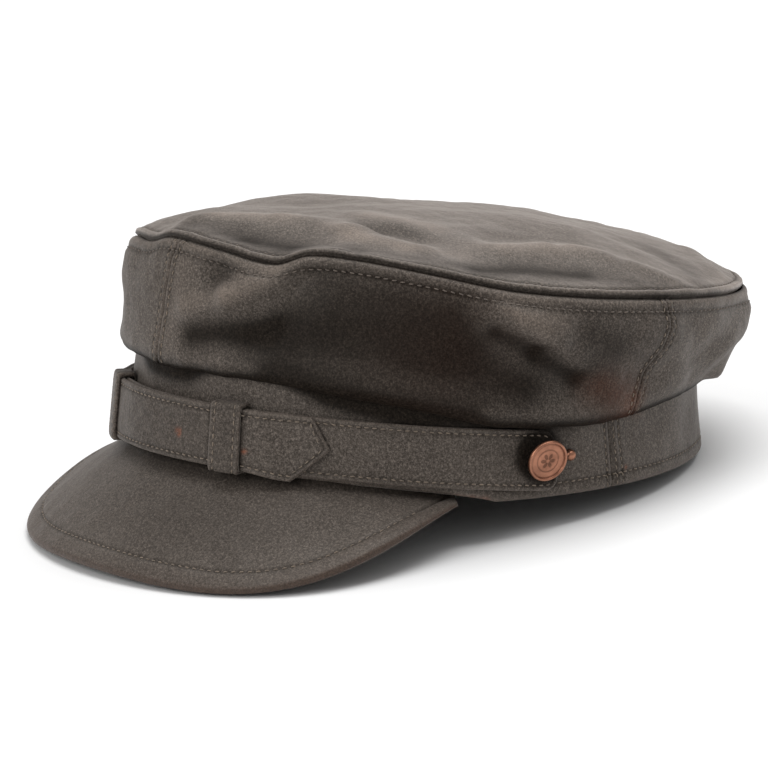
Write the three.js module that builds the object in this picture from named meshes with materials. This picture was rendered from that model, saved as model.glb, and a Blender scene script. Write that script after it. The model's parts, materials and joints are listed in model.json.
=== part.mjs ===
import * as THREE from "three";

// Oilcloth cap. Millimetres, +Z up, the peak towards -Y and the wearer's left towards +X.
// A turn is an angle round the head in degrees, from the centre front towards the wearer's left.
// A height is measured from the plane of the band's bottom edge, before the cap is set down to rest.

// Clearance between pieces that touch
const GAP = 0.3;

// Band that goes round the head
const BAND_LENGTH = 206;
const BAND_WIDTH = 178;
const BAND_HEIGHT = 44;
const BAND_WALL = 2;
const BAND_DRAW_IN = 4.3;
const BAND_SEAM_TURN = 101.5;
const FRONT_RISE = 10.5;

// Crown: the oval seam between its sides and its top, the top's dome, and the folds of its sides
const CLOTH = 1.3;
const CROWN_LENGTH = 217.2;
const CROWN_WIDTH = 187.4;
const CROWN_SET_BACK = 10.7;
const SEAM_HEIGHT = 68.2;
const SEAM_FALL = 27.8;
const SEAM_SADDLE = 1.1;
const SEAM_WAVE = 3.3;
const TOP_RISE = 15.2;
const CROWN_SEAM_TURN = 105;
const BELLY = 5;
const FOLD_DEPTH = 6;
const DENT = 3;
const JOIN_RISE = 1;

// Peak
const PEAK_TURN = 69;
const PEAK_REACH = 32.8;
const PEAK_FLARE = 23.4;
const PEAK_FLARE_RIGHT = 13.5;
const PEAK_DROP = 23.6;
const PEAK_CORNER_DIP = 6.3;
const PEAK_THICK = 3.4;
const PEAK_ARCH = 0.8;

// Straps and keepers
const STRAP_WIDTH = 20.2;
const STRAP_WALL = 1.6;
const STRAP_ABOVE_HEM = 1.5;
const STRAP_ABOVE_RIM = 1.1;
const STRAP_TIP_TURN = 43.5;
const STRAP_POINT_HIGH = 6;
const STRAP_POINT_LOW = 13;
const STRAP_PAST_BUTTON = 5.5;
const STRAP_CORNER = 5;
const STRAP_STEP = 14;
const KEEPER_TURN = 22;
const KEEPER_WIDTH = 11.5;
const KEEPER_WALL = 1;

// Buttons and studs
const BUTTON_TURN = 84.4;
const BUTTON_RADIUS = 7.2;
const BUTTON_THICK = 2.2;
const BUTTON_RIM = 1.1;
const BUTTON_NOD = 14;
const SHANK_RADIUS = 1.8;
const STUD_RADIUS = 1.9;
const STUD_BEHIND_BUTTON = 11;
const STUD_BELOW_BUTTON = 0.5;

// Sides of the crown, by turn: how low the fold hangs over the band (share of the band above the
// straps), how far it stands out (share of FOLD_DEPTH), and the belly above it (share of BELLY),
// low down and high up, with the height of the high one (share of the way from fold to seam)
const CROWN_SECTIONS = [
  { turn: 0, hang: 0.72, fold: 0.7, low: 0.85, high: 0.5, rise: 0.78 },
  { turn: 30, hang: 0.66, fold: 0.75, low: 0.8, high: 0.6, rise: 0.78 },
  { turn: 60, hang: 0.3, fold: 0.9, low: 0.5, high: 0.6, rise: 0.72 },
  { turn: 75, hang: 0.06, fold: 1, low: 0.5, high: 0.6, rise: 0.7 },
  { turn: 90, hang: 0.06, fold: 0.95, low: 0.55, high: 0.55, rise: 0.68 },
  { turn: 105, hang: 0.16, fold: 0.9, low: 0.7, high: 0.5, rise: 0.66 },
  { turn: 120, hang: 0.3, fold: 0.8, low: 1.2, high: 0.4, rise: 0.58 },
  { turn: 150, hang: 0.46, fold: 0.7, low: 1.5, high: 0.35, rise: 0.55 },
  { turn: 180, hang: 0.48, fold: 0.7, low: 1.4, high: 0.35, rise: 0.55 },
];

// Waves of the crown's seam, by turn, as shares of SEAM_WAVE
const SEAM_WAVES = [
  { turn: -180, wave: -0.8 },
  { turn: -130, wave: -0.5 },
  { turn: -90, wave: -1.4 },
  { turn: -60, wave: -2.1 },
  { turn: -38, wave: -1.9 },
  { turn: -20, wave: -1 },
  { turn: -8, wave: -0.9 },
  { turn: 0, wave: 0 },
  { turn: 8, wave: 0 },
  { turn: 16, wave: -0.25 },
  { turn: 28, wave: -0.7 },
  { turn: 35, wave: 0.75 },
  { turn: 45, wave: 1 },
  { turn: 58, wave: 0.5 },
  { turn: 74, wave: -0.4 },
  { turn: 108, wave: -0.5 },
  { turn: 130, wave: -0.6 },
  { turn: 180, wave: -0.8 },
];

// Dents and ridges of the sides, each along a line from one turn and rise to another (rise is the
// share of the way from fold to seam), its half width as a share of CROWN_WIDTH, and its push
// outwards as a share of DENT
const SIDE_DENTS = [
  { turn: 28, rise: 0.9, toTurn: 16, toRise: 0.56, width: 0.04, push: 0.7 },
  { turn: 16, rise: 0.56, toTurn: 7, toRise: 0.38, width: 0.04, push: 0.5 },
  { turn: 35, rise: 0.8, toTurn: 20, toRise: 0.34, width: 0.05, push: -0.8 },
  { turn: 15, rise: 0.8, toTurn: 17, toRise: 0.76, width: 0.03, push: -0.4 },
  { turn: 50, rise: 0.3, toTurn: 62, toRise: 0.22, width: 0.07, push: 0.6 },
  { turn: 69, rise: 0.86, toTurn: 86, toRise: 0.6, width: 0.035, push: 0.8 },
  { turn: 86, rise: 0.6, toTurn: 97, toRise: 0.32, width: 0.035, push: 0.7 },
  { turn: 66, rise: 0.66, toTurn: 90, toRise: 0.26, width: 0.045, push: -0.8 },
  { turn: 112, rise: 0.75, toTurn: 124, toRise: 0.3, width: 0.045, push: -0.7 },
  { turn: 140, rise: 0.75, toTurn: 126, toRise: 0.3, width: 0.04, push: 0.5 },
  { turn: 186, rise: 0.7, toTurn: 178, toRise: 0.2, width: 0.06, push: -0.8 },
  { turn: 222, rise: 0.8, toTurn: 215, toRise: 0.3, width: 0.06, push: 0.6 },
  { turn: -48, rise: 0.75, toTurn: -36, toRise: 0.3, width: 0.06, push: -0.8 },
  { turn: -84, rise: 0.7, toTurn: -74, toRise: 0.3, width: 0.06, push: -0.9 },
  { turn: -98, rise: 0.8, toTurn: -92, toRise: 0.4, width: 0.05, push: 0.5 },
];

// Folds of the top, each along a line in shares of its half width (x) and half length (y), its half
// width as a share of CROWN_WIDTH, and its lift as a share of DENT
const TOP_FOLDS = [
  { x: -0.05, y: -0.93, toX: 0.15, toY: -0.69, width: 0.05, lift: 0.6 },
  { x: 0.15, y: -0.69, toX: 0.5, toY: -0.54, width: 0.05, lift: 0.7 },
  { x: 0.2, y: -0.86, toX: 0.5, toY: -0.7, width: 0.05, lift: -0.5 },
  { x: 0.42, y: -0.5, toX: 0.52, toY: -0.4, width: 0.05, lift: -0.6 },
  { x: 0.72, y: -0.21, toX: 0.71, toY: 0.02, width: 0.045, lift: 0.7 },
  { x: 0.71, y: 0.02, toX: 0.87, toY: 0.35, width: 0.045, lift: 0.7 },
  { x: 0.36, y: 0.74, toX: 0.7, toY: 0.66, width: 0.035, lift: 0.5 },
  { x: 0.25, y: -0.15, toX: 0.45, toY: 0.2, width: 0.12, lift: 0.3 },
  { x: -0.75, y: -0.55, toX: -0.7, toY: -0.05, width: 0.09, lift: -1.2 },
  { x: -0.5, y: 0.3, toX: -0.2, toY: 0.6, width: 0.07, lift: -0.5 },
];

// How the rim's rise and the top's dome round off
const RIM_POWER = 0.7;
const DOME_POWER = 2.5;

const degrees = Math.PI / 180;
const sin = (turn) => Math.sin(turn * degrees);
const cos = (turn) => Math.cos(turn * degrees);
const clamp = (value, low, high) => Math.min(high, Math.max(low, value));
const mix = (from, to, share) => from + (to - from) * share;
const ease = (share) => {
  const s = clamp(share, 0, 1);
  return s * s * (3 - 2 * s);
};
const steps = (from, to, count) => Array.from({ length: count + 1 }, (_, i) => mix(from, to, i / count));
const nearTurn = (turn) => turn - 360 * Math.round(turn / 360);

// A smooth value of one column between the rows of a table, by turn
function lookUp(table, column, turn) {
  const last = table.length - 1;
  const t = clamp(turn, table[0].turn, table[last].turn);
  let k = table.findIndex((row, i) => i < last && t <= table[i + 1].turn);
  k = Math.max(k, 0);
  const slope = (i) => {
    if (i === 0 || i === last) return 0;
    return (table[i + 1][column] - table[i - 1][column]) / (table[i + 1].turn - table[i - 1].turn);
  };
  const span = table[k + 1].turn - table[k].turn;
  const s = (t - table[k].turn) / span;
  const rest = 1 - s;
  return (
    table[k][column] * (1 + 2 * s) * rest * rest +
    table[k + 1][column] * s * s * (3 - 2 * s) +
    slope(k) * span * s * rest * rest -
    slope(k + 1) * span * s * s * rest
  );
}

const section = (column, turn) => lookUp(CROWN_SECTIONS, column, Math.abs(nearTurn(turn)));

// Height of the band's bottom edge, which rises over the peak
function rimHeight(turn) {
  const edge = cos(PEAK_TURN + 6);
  return FRONT_RISE * clamp((cos(turn) - edge) / (1 - edge), 0, 1) ** RIM_POWER;
}

// A point at a height on the band's outer face, or a distance out from it
function bandPoint(turn, height, out = 0) {
  const inset = (BAND_DRAW_IN * height) / BAND_HEIGHT - out;
  return [(BAND_WIDTH / 2 - inset) * sin(turn), -(BAND_LENGTH / 2 - inset) * cos(turn), height];
}

// Height of the seam between the crown's sides and its top, and a point on it or out from it
function seamHeight(turn) {
  const wave = SEAM_WAVE * lookUp(SEAM_WAVES, "wave", nearTurn(turn));
  return SEAM_HEIGHT + (SEAM_FALL / 2) * cos(turn) + SEAM_SADDLE * cos(2 * turn) + wave;
}

function seamPlan(turn, out = 0) {
  return [(CROWN_WIDTH / 2 + out) * sin(turn), CROWN_SET_BACK - (CROWN_LENGTH / 2 + out) * cos(turn)];
}

const strapLow = (turn) => mix(STRAP_ABOVE_HEM, FRONT_RISE + STRAP_ABOVE_RIM, cos(turn));
const strapTop = (turn) => strapLow(turn) + STRAP_WIDTH;

// A closed wall between an outer and an inner grid of points. The rows run along the piece, and a
// ring joins its last row to its first. A centre closes the first column of both grids in a point.
function wall(outer, inner, { ring = false, centre = null } = {}) {
  const rows = outer.length;
  const columns = outer[0].length;
  const at = (side, row, column) => (side * rows + (row % rows)) * columns + column;
  const points = [...outer.flat(), ...inner.flat(), ...(centre ?? [])];
  const faces = [];
  const quad = (a, b, c, d) => faces.push(a, b, c, a, c, d);
  const last = columns - 1;
  for (let row = 0; row < (ring ? rows : rows - 1); row++) {
    const next = row + 1;
    for (let column = 0; column < last; column++) {
      quad(at(0, row, column), at(0, next, column), at(0, next, column + 1), at(0, row, column + 1));
      quad(at(1, row, column), at(1, row, column + 1), at(1, next, column + 1), at(1, next, column));
    }
    quad(at(0, row, last), at(0, next, last), at(1, next, last), at(1, row, last));
    if (centre) {
      faces.push(at(0, next, 0), at(0, row, 0), points.length - 2);
      faces.push(at(1, row, 0), at(1, next, 0), points.length - 1);
    } else {
      quad(at(0, row, 0), at(1, row, 0), at(1, next, 0), at(0, next, 0));
    }
  }
  if (!ring) {
    const end = rows - 1;
    for (let column = 0; column < last; column++) {
      quad(at(0, 0, column), at(0, 0, column + 1), at(1, 0, column + 1), at(1, 0, column));
      quad(at(0, end, column), at(1, end, column), at(1, end, column + 1), at(0, end, column + 1));
    }
  }
  return closedGeometry(points, faces);
}

// A geometry from points and faces, turned so that its faces point out
function closedGeometry(points, faces) {
  let volume = 0;
  const [a, b, c] = [new THREE.Vector3(), new THREE.Vector3(), new THREE.Vector3()];
  for (let i = 0; i < faces.length; i += 3) {
    [a, b, c].forEach((corner, k) => corner.fromArray(points[faces[i + k]]));
    volume += a.dot(b.cross(c));
  }
  const geometry = new THREE.BufferGeometry();
  geometry.setAttribute("position", new THREE.Float32BufferAttribute(points.flat(), 3));
  geometry.setIndex(volume < 0 ? faces.toReversed() : faces);
  geometry.computeVertexNormals();
  return geometry;
}

// Finishes
const oilcloth = new THREE.MeshStandardMaterial({ color: 0x4a423e, roughness: 0.7, metalness: 0 });
const copper = new THREE.MeshStandardMaterial({ color: 0xb07050, roughness: 0.35, metalness: 1 });

const cap = new THREE.Group();

function add(name, geometry, material = oilcloth) {
  const mesh = new THREE.Mesh(geometry, material);
  mesh.name = name;
  cap.add(mesh);
  return mesh;
}

// Turns at which a panel from one seam to the next is cut, half the gap inside each seam
function panelTurns(from, to, width, spacing) {
  const margin = GAP / width / degrees;
  return steps(from + margin, to - margin, Math.round((to - from) / spacing));
}

// Band: two walls, seamed behind the buttons
const BAND_LEVELS = [0, 0.35, 1];

function bandPiece(from, to) {
  const face = (turn, out) =>
    BAND_LEVELS.map((level) => bandPoint(turn, mix(rimHeight(turn), BAND_HEIGHT, level), out));
  const turns = panelTurns(from, to, BAND_WIDTH, 5);
  return wall(turns.map((turn) => face(turn, 0)), turns.map((turn) => face(turn, -BAND_WALL)));
}

add("band_front", bandPiece(-BAND_SEAM_TURN, BAND_SEAM_TURN));
add("band_back", bandPiece(BAND_SEAM_TURN, 360 - BAND_SEAM_TURN));

// Push of a row of dents at a point given in millimetres, each dent a soft ridge along its line
function dentPush(dents, point, ends, amount) {
  let push = 0;
  for (const dent of dents) {
    const [from, to] = ends(dent);
    const line = [to[0] - from[0], to[1] - from[1]];
    const along = (point[0] - from[0]) * line[0] + (point[1] - from[1]) * line[1];
    const share = clamp(along / (line[0] ** 2 + line[1] ** 2), 0, 1);
    const away = Math.hypot(point[0] - from[0] - share * line[0], point[1] - from[1] - share * line[1]);
    push += amount(dent) * Math.exp(-((away / (dent.width * CROWN_WIDTH)) ** 2));
  }
  return push;
}

// Crown sides: each section is one smooth curve that starts beside the band's top edge, runs down
// the band's outer face, turns in a fold, swells into a belly and ends at the seam
const SECTION_POINTS = 13;
const FOLD_KNOT = 3;
const FOLD_TURNS_UNDER = 0.45;
const LOW_BELLY_RISE = 0.38;
const LOW_BELLY_SPREAD = 0.45;
const HIGH_BELLY_SPREAD = 0.95;
const SHOULDER_DROP = 0.05;
const SHOULDER_SPREAD = 0.45;
const DENT_REACH_TURN = 130;
const DENT_FADE = 0.14;

function sidePush(turn, rise, height) {
  const round = (CROWN_WIDTH + CROWN_LENGTH) / 4;
  const place = (atTurn, atRise) => [nearTurn(atTurn - turn) * degrees * round, atRise * height];
  const near = SIDE_DENTS.filter((dent) => Math.abs(nearTurn(dent.turn - turn)) < DENT_REACH_TURN);
  const ends = (dent) => {
    const from = place(dent.turn, dent.rise);
    return [from, [from[0] + (dent.toTurn - dent.turn) * degrees * round, dent.toRise * height]];
  };
  const fade = ease(rise / DENT_FADE) * ease((1 - rise) / DENT_FADE);
  return fade * dentPush(near, [0, rise * height], ends, (dent) => dent.push * DENT);
}

function crownSection(turn) {
  const top = strapTop(turn);
  const foldHeight = mix(top, BAND_HEIGHT, section("hang", turn));
  const foldOut = GAP + section("fold", turn) * FOLD_DEPTH;
  const seam = seamHeight(turn);
  const height = seam - foldHeight;
  const onBand = (level, out) => bandPoint(turn, level, out);
  const between = (share, out, level) => {
    const low = bandPoint(turn, BAND_HEIGHT, out);
    const high = seamPlan(turn, out);
    return [mix(low[0], high[0], share), mix(low[1], high[1], share), level];
  };
  const knots = [
    onBand(BAND_HEIGHT + JOIN_RISE, GAP),
    onBand(mix(foldHeight, BAND_HEIGHT, FOLD_TURNS_UNDER), GAP),
    onBand(foldHeight, mix(GAP, foldOut, FOLD_TURNS_UNDER)),
    onBand(foldHeight + foldOut * FOLD_TURNS_UNDER, foldOut),
    between(LOW_BELLY_SPREAD, section("low", turn) * BELLY, foldHeight + LOW_BELLY_RISE * height),
    between(HIGH_BELLY_SPREAD, section("high", turn) * BELLY, foldHeight + section("rise", turn) * height),
    between(1, section("high", turn) * BELLY * SHOULDER_SPREAD, seam - height * SHOULDER_DROP),
    between(1, 0, seam),
  ];
  const vectors = knots.map((knot) => new THREE.Vector3(...knot));
  const curve = new THREE.CatmullRomCurve3(vectors, false, "centripetal");
  const outward = new THREE.Vector3(sin(turn), -cos(turn), 0);
  const outer = [];
  const inner = [];
  for (const share of steps(0, 1, SECTION_POINTS)) {
    const point = curve.getPoint(share);
    const tangent = curve.getTangent(share);
    const run = tangent.dot(outward);
    const climb = tangent.z;
    const across = new THREE.Vector3().addScaledVector(outward, climb).setZ(-run).normalize();
    const isWall = share > FOLD_KNOT / (knots.length - 1);
    const level = (point.z - foldHeight) / height;
    point.addScaledVector(across, isWall ? sidePush(turn, level, height) : 0);
    outer.push(point.toArray());
    inner.push(point.addScaledVector(across, -CLOTH).toArray());
  }
  return { outer, inner };
}

function crownSide(from, to) {
  const sections = panelTurns(from, to, CROWN_WIDTH, 5).map(crownSection);
  return wall(sections.map((s) => s.outer), sections.map((s) => s.inner));
}

add("crown_side_left", crownSide(0, CROWN_SEAM_TURN));
add("crown_side_right", crownSide(-CROWN_SEAM_TURN, 0));
add("crown_back", crownSide(CROWN_SEAM_TURN, 360 - CROWN_SEAM_TURN));

// Crown top: a dome over the seam, resting on the sides' upper edges
const TOP_RINGS = [0.12, 0.27, 0.42, 0.56, 0.69, 0.8, 0.89, 0.96, 1];
const TOP_TURNS = 72;
const EDGE_POWER = 6;

function topPoint(turn, ring, under) {
  const [x, y] = seamPlan(turn);
  const plan = [x * ring, mix(CROWN_SET_BACK, y, ring)];
  const half = [CROWN_WIDTH / 2, CROWN_LENGTH / 2];
  const ends = (fold) => [
    [fold.x * half[0], fold.y * half[1]],
    [fold.toX * half[0], fold.toY * half[1]],
  ];
  const from = [plan[0], plan[1] - CROWN_SET_BACK];
  const lift = dentPush(TOP_FOLDS, from, ends, (fold) => fold.lift * DENT) * ease((1 - ring) / DENT_FADE);
  const tilt = (SEAM_FALL / 2) * cos(turn) + SEAM_SADDLE * cos(2 * turn);
  const edge = seamHeight(turn) - SEAM_HEIGHT - tilt;
  const base = SEAM_HEIGHT + tilt * ring + edge * ring ** EDGE_POWER;
  return [...plan, base + TOP_RISE * (1 - ring ** DOME_POWER) + lift + GAP + (under ? 0 : CLOTH)];
}

function crownTop() {
  const turns = steps(0, 360, TOP_TURNS).slice(0, -1);
  const face = (under) => turns.map((turn) => TOP_RINGS.map((ring) => topPoint(turn, ring, under)));
  return wall(face(false), face(true), { ring: true, centre: [topPoint(0, 0, false), topPoint(0, 0, true)] });
}

add("crown_top", crownTop());

// Peak: a sloping sheet from under the band's rim to a curved front edge, its edge rolled
const PEAK_COLUMNS = [
  { share: 0, thick: 1 },
  { share: 0.2, thick: 1 },
  { share: 0.4, thick: 1 },
  { share: 0.6, thick: 1 },
  { share: 0.8, thick: 1 },
  { share: 0.95, thick: 1 },
  { share: 0.99, thick: 0.8 },
  { share: 1, thick: 0.35 },
];
const PEAK_END = 88;
const PEAK_SECTIONS = 40;
const PEAK_CORNER_THIN = 0.4;
const DROP_ROUNDING = 0.44;
const PEAK_THINS = 24;
const FRONT_POWER_RIGHT = 0.9;
const SLOPE_STEP = 0.02;

function peakEdge(sweep) {
  const corner = bandPoint(PEAK_TURN, 0);
  const reach = BAND_LENGTH / 2 + corner[1] + PEAK_REACH - PEAK_THICK / 4;
  const right = sweep < 0;
  const flare = (right ? PEAK_FLARE_RIGHT : PEAK_FLARE) - PEAK_THICK / 5;
  const drop = PEAK_DROP * mix(cos(sweep), cos(sweep) ** 2, DROP_ROUNDING);
  const dip = PEAK_CORNER_DIP * sin(2 * sweep) ** 2;
  return [
    corner[0] * sin(sweep) + flare * sin(2 * sweep),
    corner[1] - reach * cos(sweep) ** (right ? FRONT_POWER_RIGHT : 1),
    PEAK_THICK / 4 - drop - dip,
  ];
}

function peakMiddle(sweep, share) {
  const turn = (PEAK_TURN * sweep) / 90;
  const root = bandPoint(turn, rimHeight(turn) - GAP - PEAK_THICK / 2, -(BAND_WALL + PEAK_THICK) / 2);
  const arch = 4 * share * (1 - share) * PEAK_ARCH * cos(sweep);
  const point = new THREE.Vector3(...root).lerp(new THREE.Vector3(...peakEdge(sweep)), share);
  return point.setZ(point.z + arch);
}

function peak() {
  const top = [];
  const bottom = [];
  for (const sweep of steps(-PEAK_END, PEAK_END, PEAK_SECTIONS)) {
    const full = mix(PEAK_CORNER_THIN, 1, ease((PEAK_END - Math.abs(sweep)) / PEAK_THINS));
    const faces = PEAK_COLUMNS.map(({ share, thick }) => {
      const middle = peakMiddle(sweep, share);
      const along = peakMiddle(sweep + 1, share).sub(peakMiddle(sweep - 1, share));
      const out = peakMiddle(sweep, share + SLOPE_STEP).sub(peakMiddle(sweep, share - SLOPE_STEP));
      const up = out.cross(along).normalize();
      if (up.z < 0) up.negate();
      const half = (PEAK_THICK / 2) * thick * full;
      return [half, -half].map((away) => middle.clone().addScaledVector(up, away).toArray());
    });
    top.push(faces.map((pair) => pair[0]));
    bottom.push(faces.map((pair) => pair[1]));
  }
  return wall(top, bottom);
}

add("peak", peak());

// Straps: the under strap lies on the band from the left button, and the over strap comes from the
// right button and climbs on to it. Both stand off the band where the keepers pass behind them.
const millimetresPerDegree = ((BAND_LENGTH + BAND_WIDTH) / 4) * degrees;
const STRAP_END = BUTTON_TURN + STRAP_PAST_BUTTON / millimetresPerDegree;

function underOut(turn) {
  const start = KEEPER_TURN + KEEPER_WIDTH / millimetresPerDegree;
  const settle = STRAP_STEP / millimetresPerDegree;
  return GAP + (KEEPER_WALL + GAP) * ease((start + settle - Math.abs(turn)) / settle);
}

function overOut(turn) {
  const settle = STRAP_STEP / millimetresPerDegree;
  return underOut(turn) + (STRAP_WALL + GAP) * ease((STRAP_TIP_TURN + 1 + settle + turn) / settle);
}

const STRAP_EDGES = [
  { share: 0, thick: 0.5 },
  { share: 0.05, thick: 1 },
  { share: 0.95, thick: 1 },
  { share: 1, thick: 0.5 },
];

// A strap from its pointed end to its button, both given as turns
function strap(tip, end, outAt) {
  const toEnd = Math.sign(end - tip);
  const length = Math.abs(end - tip) * millimetresPerDegree;
  const distances = [
    ...steps(0.6, STRAP_POINT_LOW, 5),
    ...steps(STRAP_POINT_LOW, length - STRAP_CORNER, 34).slice(1),
    ...steps(length - STRAP_CORNER, length, 4).slice(1),
  ];
  const outer = [];
  const inner = [];
  for (const distance of distances) {
    const turn = tip + (toEnd * distance) / millimetresPerDegree;
    const fromEnd = length - distance;
    const corner = clamp(STRAP_CORNER - fromEnd, 0, STRAP_CORNER);
    const trim = STRAP_CORNER - Math.sqrt(STRAP_CORNER ** 2 - corner ** 2);
    const middle = strapLow(turn) + STRAP_WIDTH / 2;
    const low = middle - (STRAP_WIDTH / 2) * clamp(distance / STRAP_POINT_LOW, 0, 1) + trim;
    const high = middle + (STRAP_WIDTH / 2) * clamp(distance / STRAP_POINT_HIGH, 0, 1) - trim;
    const faceAt = (side) =>
      STRAP_EDGES.map(({ share, thick }) => {
        const out = outAt(turn) + STRAP_WALL * (0.5 + side * thick * 0.5);
        return bandPoint(turn, mix(low, high, share), out);
      });
    outer.push(faceAt(1));
    inner.push(faceAt(-1));
  }
  return wall(outer, inner);
}

add("strap_under", strap(-STRAP_TIP_TURN, STRAP_END, underOut));
add("strap_over", strap(STRAP_TIP_TURN, -STRAP_END, overOut));

// Keepers: loops of cloth round both straps
function keeper(centre) {
  const half = KEEPER_WIDTH / 2 / millimetresPerDegree;
  const turns = steps(centre - half, centre + half, 2);
  const loopAt = (turn, grow) => {
    const near = underOut(centre) - GAP - grow;
    const far = underOut(centre) + 2 * STRAP_WALL + 2 * GAP + grow;
    const low = strapLow(turn) - GAP - grow;
    const high = strapTop(turn) + GAP + grow;
    const corner = grow / 2;
    return [
      bandPoint(turn, low, near + corner),
      bandPoint(turn, low, far - corner),
      bandPoint(turn, low + corner, far),
      bandPoint(turn, mix(low, high, 0.5), far),
      bandPoint(turn, high - corner, far),
      bandPoint(turn, high, far - corner),
      bandPoint(turn, high, near + corner),
      bandPoint(turn, high - corner, near),
      bandPoint(turn, mix(low, high, 0.5), near),
      bandPoint(turn, low + corner, near),
    ];
  };
  const grid = (grow) => {
    const loops = turns.map((turn) => loopAt(turn, grow));
    return loops[0].map((_, i) => loops.map((loop) => loop[i]));
  };
  return wall(grid(KEEPER_WALL), grid(0), { ring: true });
}

add("keeper_left", keeper(KEEPER_TURN));
add("keeper_right", keeper(-KEEPER_TURN));

// Buttons: copper discs with a raised rim, nodding down from a short shank, and small round studs.
// Levels on a button are shares of its thickness, and a stud's foot is a share of its radius.
const BUTTON_BACK_EDGE = 0.4;
const BUTTON_RIM_EDGE = 0.75;
const BUTTON_FACE = 0.8;
const BUTTON_ABOVE_MIDDLE = 1;
const BUTTON_SIDES = 20;
const STUD_FOOT = 0.4;
const STUD_SIDES = 10;

function setOut(mesh, turn, height, out, nod) {
  mesh.position.fromArray(bandPoint(turn, height, out));
  const facing = new THREE.Vector3(sin(turn) * cos(nod), -cos(turn) * cos(nod), -sin(nod));
  mesh.quaternion.setFromUnitVectors(new THREE.Vector3(0, 1, 0), facing);
}

const profile = (points) => points.map(([radius, along]) => new THREE.Vector2(radius, along));

function buttonGeometry(stand) {
  const shank = (stand - GAP) / cos(BUTTON_NOD) - SHANK_RADIUS * Math.tan(BUTTON_NOD * degrees);
  const outline = [
    [0, -shank],
    [SHANK_RADIUS, -shank],
    [SHANK_RADIUS, 0],
    [BUTTON_RADIUS - BUTTON_RIM, 0],
    [BUTTON_RADIUS, BUTTON_THICK * BUTTON_BACK_EDGE],
    [BUTTON_RADIUS, BUTTON_THICK * BUTTON_RIM_EDGE],
    [BUTTON_RADIUS - BUTTON_RIM / 2, BUTTON_THICK],
    [BUTTON_RADIUS - BUTTON_RIM, BUTTON_THICK * BUTTON_FACE],
    [0, BUTTON_THICK * BUTTON_FACE],
  ];
  return new THREE.LatheGeometry(profile(outline), BUTTON_SIDES);
}

function studGeometry() {
  const foot = STUD_RADIUS * STUD_FOOT;
  const dome = steps(0, 67.5, 3).map((lift) => [STUD_RADIUS * cos(lift), foot + STUD_RADIUS * sin(lift)]);
  const outline = [[0, 0], [STUD_RADIUS, 0], ...dome, [0, foot + STUD_RADIUS]];
  return new THREE.LatheGeometry(profile(outline), STUD_SIDES);
}

for (const [name, hand] of [["left", 1], ["right", -1]]) {
  const turn = hand * BUTTON_TURN;
  const height = strapLow(turn) + STRAP_WIDTH / 2 + BUTTON_ABOVE_MIDDLE;
  const lean = bandPoint(turn, height - BUTTON_RADIUS)[0] - bandPoint(turn, height)[0];
  const stand = GAP + Math.abs(lean) + BUTTON_RADIUS * sin(BUTTON_NOD);
  const button = add(`button_${name}`, buttonGeometry(stand), copper);
  setOut(button, turn, height, underOut(turn) + STRAP_WALL + stand, BUTTON_NOD);
  const stud = add(`stud_${name}`, studGeometry(), copper);
  const behind = turn + (hand * STUD_BEHIND_BUTTON) / millimetresPerDegree;
  setOut(stud, behind, height - STUD_BELOW_BUTTON, GAP, 0);
}

// The cap is set down on the low front edge of its peak and the back of its band
function restAngle() {
  let angle = 0;
  for (const sweep of steps(0, 90, 90)) {
    const [, y, z] = peakEdge(sweep);
    const lowest = z - PEAK_THICK / 3;
    angle = Math.max(angle, Math.atan2(-lowest, BAND_LENGTH / 2 - y));
  }
  return angle;
}

cap.rotation.x = -restAngle();
cap.updateMatrixWorld(true);
const box = new THREE.Box3().setFromObject(cap, true);
const middle = box.getCenter(new THREE.Vector3());
cap.position.set(-middle.x, -middle.y, -box.min.z);

export default cap;
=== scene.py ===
import json
import math
import bpy
import numpy as np
from mathutils import Matrix, Vector, noise


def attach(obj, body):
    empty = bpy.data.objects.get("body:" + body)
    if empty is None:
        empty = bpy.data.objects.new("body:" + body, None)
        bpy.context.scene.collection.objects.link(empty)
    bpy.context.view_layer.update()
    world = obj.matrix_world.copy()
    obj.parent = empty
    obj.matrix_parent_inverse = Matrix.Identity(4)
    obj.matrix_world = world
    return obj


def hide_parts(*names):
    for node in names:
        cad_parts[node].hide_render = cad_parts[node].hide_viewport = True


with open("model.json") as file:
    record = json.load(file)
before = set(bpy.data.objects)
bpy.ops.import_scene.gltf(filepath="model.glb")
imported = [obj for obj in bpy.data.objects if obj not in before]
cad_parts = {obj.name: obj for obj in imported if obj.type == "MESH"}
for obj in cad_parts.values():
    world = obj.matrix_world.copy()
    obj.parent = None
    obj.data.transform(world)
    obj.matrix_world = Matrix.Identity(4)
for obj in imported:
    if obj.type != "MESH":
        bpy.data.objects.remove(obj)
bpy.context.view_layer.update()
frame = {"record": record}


# Band. On the real cap it is a strip of oilcloth round the head, drawn in a little towards the top.
# It is cut in two, front and back, and sewn behind the buttons with three rows of stitches. Its hem
# is turned under and stitched once.
opening = next(m for m in frame["record"]["mounts"] if m["name"] == "head_opening")
ORIGIN = np.array(opening["pos_m"])
UPWARD = -np.array(opening["axis"])
CAP_AXES = np.array([[1.0, 0.0, 0.0], np.cross(UPWARD, [1.0, 0.0, 0.0]), UPWARD])


def to_row(points):
    """Millimetres from the middle of the band's bottom edge to metres in the row's frame."""
    return ORIGIN + np.asarray(points) / 1000 @ CAP_AXES


def sin(turn):
    """Sine of a turn in degrees."""
    return np.sin(np.radians(turn))


def cos(turn):
    return np.cos(np.radians(turn))


def mix(low, high, share):
    return low + (high - low) * share


def ease(share):
    s = np.clip(share, 0, 1)
    return s * s * (3 - 2 * s)


def bell(distance, width):
    return np.exp(-((distance / width) ** 2))


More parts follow.
